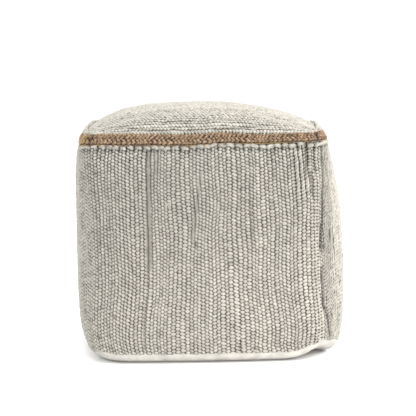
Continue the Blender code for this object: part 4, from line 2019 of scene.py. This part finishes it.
@dataclass
class CanvasBase:
    """The canvas panel under the pouf, whose rim shows below the woven band."""

    form: FilledForm
    columns: int = 480
    rim_rings: int = 16
    floor_rings: int = 12
    middle: float = 0.150
    shows: float = 0.0020

    def build(self, finish: Material) -> Object:
        """Lays the canvas from under the band's edge down to the floor and in to the middle.

        Args:
            finish: the canvas.

        Returns:
            The panel.
        """
        angles = TURN * np.arange(self.columns) / self.columns
        reach, rim = self.form.on_ring(self.form.rim, angles)
        start = np.arctan2(self.middle - rim - 0.012, reach)
        fold = np.arctan2(self.middle, reach - 0.045)
        down = np.full_like(fold, math.pi / 2)
        inward = np.linspace(0.0, 0.97, self.floor_rings + 1)[1:]
        pitches = [start + (fold - start) * share for share in np.linspace(0.0, 1.0, self.rim_rings)]
        pitches += [fold + (down - fold) * share for share in inward]
        rows = [[self.lower_point(a, p) for a, p in zip(angles, pitch)] for pitch in reversed(pitches)]
        points = np.array(rows)
        shade = self.creases(angles, points)
        faces = lattice_faces(len(points), self.columns, closed=True)
        faces += [((n + 1) % self.columns, n, points.size // 3) for n in range(self.columns)]
        flat = np.vstack([points.reshape(-1, 3), [[0.0, 0.0, points[0, :, 2].mean()]]])
        flat[:, 2] = np.maximum(flat[:, 2], 0.0)
        piece = add_piece("canvas_panel", flat, faces)
        store(piece.data, "shade", shade)
        piece.data.materials.append(finish)
        return piece

    def lower_point(self, angle: float, pitch: float) -> Vector:
        """Finds the form's point in a direction from the middle.

        Args:
            angle: the direction seen from above.
            pitch: how steeply it falls.

        Returns:
            The point.
        """
        level = math.cos(pitch)
        way = Vector((math.cos(angle) * level, math.sin(angle) * level, -math.sin(pitch)))
        return self.form.hit(Vector((0.0, 0.0, self.middle)) + way, -way)

    def creases(self, angles: Array, points: Array) -> Array:
        """Puts soft creases up the rim.

        Args:
            angles: direction of each column.
            points: the panel's rows, which are moved a little.

        Returns:
            How much painted shade each point has, where the rim is pushed in.
        """
        wave = drift(angles / TURN, 41, (17.0, 29.0, 43.0, 61.0))
        height = points[:, :, 2]
        on_rim = smooth_step(0.0005, 0.006, height)
        push = 0.0012 * wave[None, :] * on_rim
        ways = np.stack([np.cos(angles), np.sin(angles)], axis=-1)
        _, rim = self.form.on_ring(self.form.rim, angles)
        push -= 0.0030 * smooth_step(0.0015, 0.0060, height - rim[None, :] - self.shows)
        points[:, :, :2] += push[:, :, None] * ways[None, :, :]
        # Painted shade where the wave pushes the rim in.
        return np.clip(-0.25 * wave[None, :] * on_rim, 0.0, 0.3)


# --- Studio ---


@dataclass(frozen=True)
class Lamp:
    """A soft area light."""

    name: str
    place: tuple[float, float, float]
    size: float
    power: float
    colour: Colour = (1.0, 1.0, 1.0)
    slim: float = 1.0

    def add(self, aim: Vector) -> None:
        """Hangs the lamp.

        Args:
            aim: the point that it is turned towards.
        """
        light = bpy.data.lights.new(self.name, "AREA")
        light.shape = "RECTANGLE"
        light.size = self.size
        light.size_y = self.size * self.slim
        light.energy = self.power
        light.color = self.colour
        lamp = add_object(self.name, light)
        lamp.location = self.place
        lamp.rotation_euler = (aim - Vector(self.place)).to_track_quat("-Z", "Y").to_euler()


@dataclass
class Studio:
    """The pale floor, the lights and the camera."""

    lamps: tuple[Lamp, ...] = (
        Lamp("key", (2.9, -0.7, 2.0), 1.5, 126.0, (1.0, 0.985, 0.95)),
        Lamp("fill", (-2.6, -0.7, 1.3), 1.5, 25.0),
        Lamp("top", (0.15, -0.60, 2.8), 2.0, 76.0),
        Lamp("low", (0.8, -1.3, 0.09), 0.5, 2.4, (1.0, 0.99, 0.97)),
        Lamp("foot", (0.05, -0.52, 0.02), 0.66, 1.10, (1.0, 0.99, 0.97), 0.05),
    )
    floor_reach: float = 30.0
    distance: float = 2.75
    height: float = 0.600
    turn: float = math.radians(1.0)
    roll: float = math.radians(0.8)
    lens: float = 124.86
    aim: tuple[float, float, float] = (0.0, 0.0, 0.256)
    pixels: float = 416.0
    aim_pixel: tuple[float, float] = (209.5, 206.5)

    def build(self) -> None:
        """Sets the whole studio up."""
        aim = Vector(self.aim)
        for lamp in self.lamps:
            lamp.add(aim)
        self.add_floor()
        self.add_world()
        self.add_camera(aim)
        bpy.context.scene.view_settings.view_transform = "Standard"

    def add_floor(self) -> None:
        """A wide white floor with a plain procedural finish."""
        corners = self.floor_reach * np.array([(-1, -1, 0), (1, -1, 0), (1, 1, 0), (-1, 1, 0)])
        floor = add_piece("studio_floor", corners, [(0, 1, 2, 3)])
        made = bpy.data.materials.new("white_floor")
        made.use_nodes = True
        surface = made.node_tree.nodes["Principled BSDF"]
        surface.inputs["Base Color"].default_value = (0.95, 0.95, 0.95, 1.0)
        surface.inputs["Roughness"].default_value = 0.85
        surface.inputs["Specular IOR Level"].default_value = 0.1
        floor.data.materials.append(made)

    def add_world(self) -> None:
        """A white surround."""
        world = bpy.data.worlds.new("white_surround")
        world.use_nodes = True
        backdrop = world.node_tree.nodes["Background"]
        backdrop.inputs["Color"].default_value = (1.0, 1.0, 1.0, 1.0)
        backdrop.inputs["Strength"].default_value = 1.14
        bpy.context.scene.world = world

    def add_camera(self, aim: Vector) -> None:
        """Sets the camera at the photograph's distance, height, turn and roll.

        Args:
            aim: the point that it looks at.
        """
        camera = bpy.data.cameras.new("camera")
        camera.lens = self.lens
        camera.sensor_width = 36.0
        camera.shift_x = -(self.aim_pixel[0] - self.pixels / 2) / self.pixels
        camera.shift_y = (self.aim_pixel[1] - self.pixels / 2) / self.pixels
        stand = add_object("camera", camera)
        aside, back = math.sin(self.turn) * self.distance, math.cos(self.turn) * self.distance
        stand.location = (-aside, -back, self.height)
        stand.rotation_euler = (aim - stand.location).to_track_quat("-Z", "Y").to_euler()
        stand.rotation_euler.rotate_axis("Z", -self.roll)
        bpy.context.scene.camera = stand


# --- The pouf ---


def report(piece: Object) -> None:
    """Logs a finished piece."""
    size = [1000 * side for side in piece.dimensions]
    log.info("%s: %d triangles, %.0f x %.0f x %.0f mm", piece.name, triangles(piece.data), *size)


def settle(piece: Object, slot: Slot, *nodes: str) -> None:
    """Lets a piece ride on the root body, and reports it.

    Args:
        piece: the piece.
        slot: its material slot; not used.
        nodes: the frame's nodes that it stands for.
    """
    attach(piece, "root")
    if nodes:
        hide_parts(*nodes)
    report(piece)


def main() -> None:
    """Builds the pouf's looks piece by piece and sets the studio up."""
    logging.basicConfig(level=logging.INFO, format="%(message)s")
    for leftover in list(bpy.data.objects):
        bpy.data.objects.remove(leftover)
    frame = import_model()
    form = FilledForm(frame["nodes"])
    form.build()

    weave, streaks, relief = weave_pattern(), yarn_pattern(), weave_relief()
    cotton = RagCotton("woven_cotton", 0.95, 0.04).dress(weave)
    weft = Yarn("turned_weft", 0.95, 0.04, (0.350, 0.335, 0.296), (0.205, 0.195, 0.168)).dress(streaks)
    strands = Yarn("jute_yarn", 0.85, 0.10, (0.290, 0.196, 0.120), (0.062, 0.031, 0.016), patches=170.0)
    jute = strands.dress(streaks)
    canvas = Canvas("cream_canvas", 0.92, 0.05).dress()

    strip = WovenBand(form)
    band = strip.build(relief, cotton)
    settle(band, Slot.COTTON, "side_band")
    top = WovenTop(form).build(relief, cotton)
    settle(top, Slot.COTTON, "top_panel")
    plait = JutePlait(form).build(jute)
    settle(plait, Slot.JUTE, "jute_braid")
    wefts, pairs = TurnedWefts(form), strip.pair_places()
    settle(build_loops("band_selvedge", wefts.band_line(pairs), weft), Slot.COTTON)
    settle(build_loops("top_selvedge", wefts.top_line(), weft), Slot.COTTON)
    ends = LooseEnds(form)
    for kind in End:
        settle(ends.build(kind, weft), Slot.COTTON)
    base = CanvasBase(form).build(canvas)
    settle(base, Slot.CANVAS, "canvas_base")

    Studio().build()


if __name__ == "__main__":
    main()
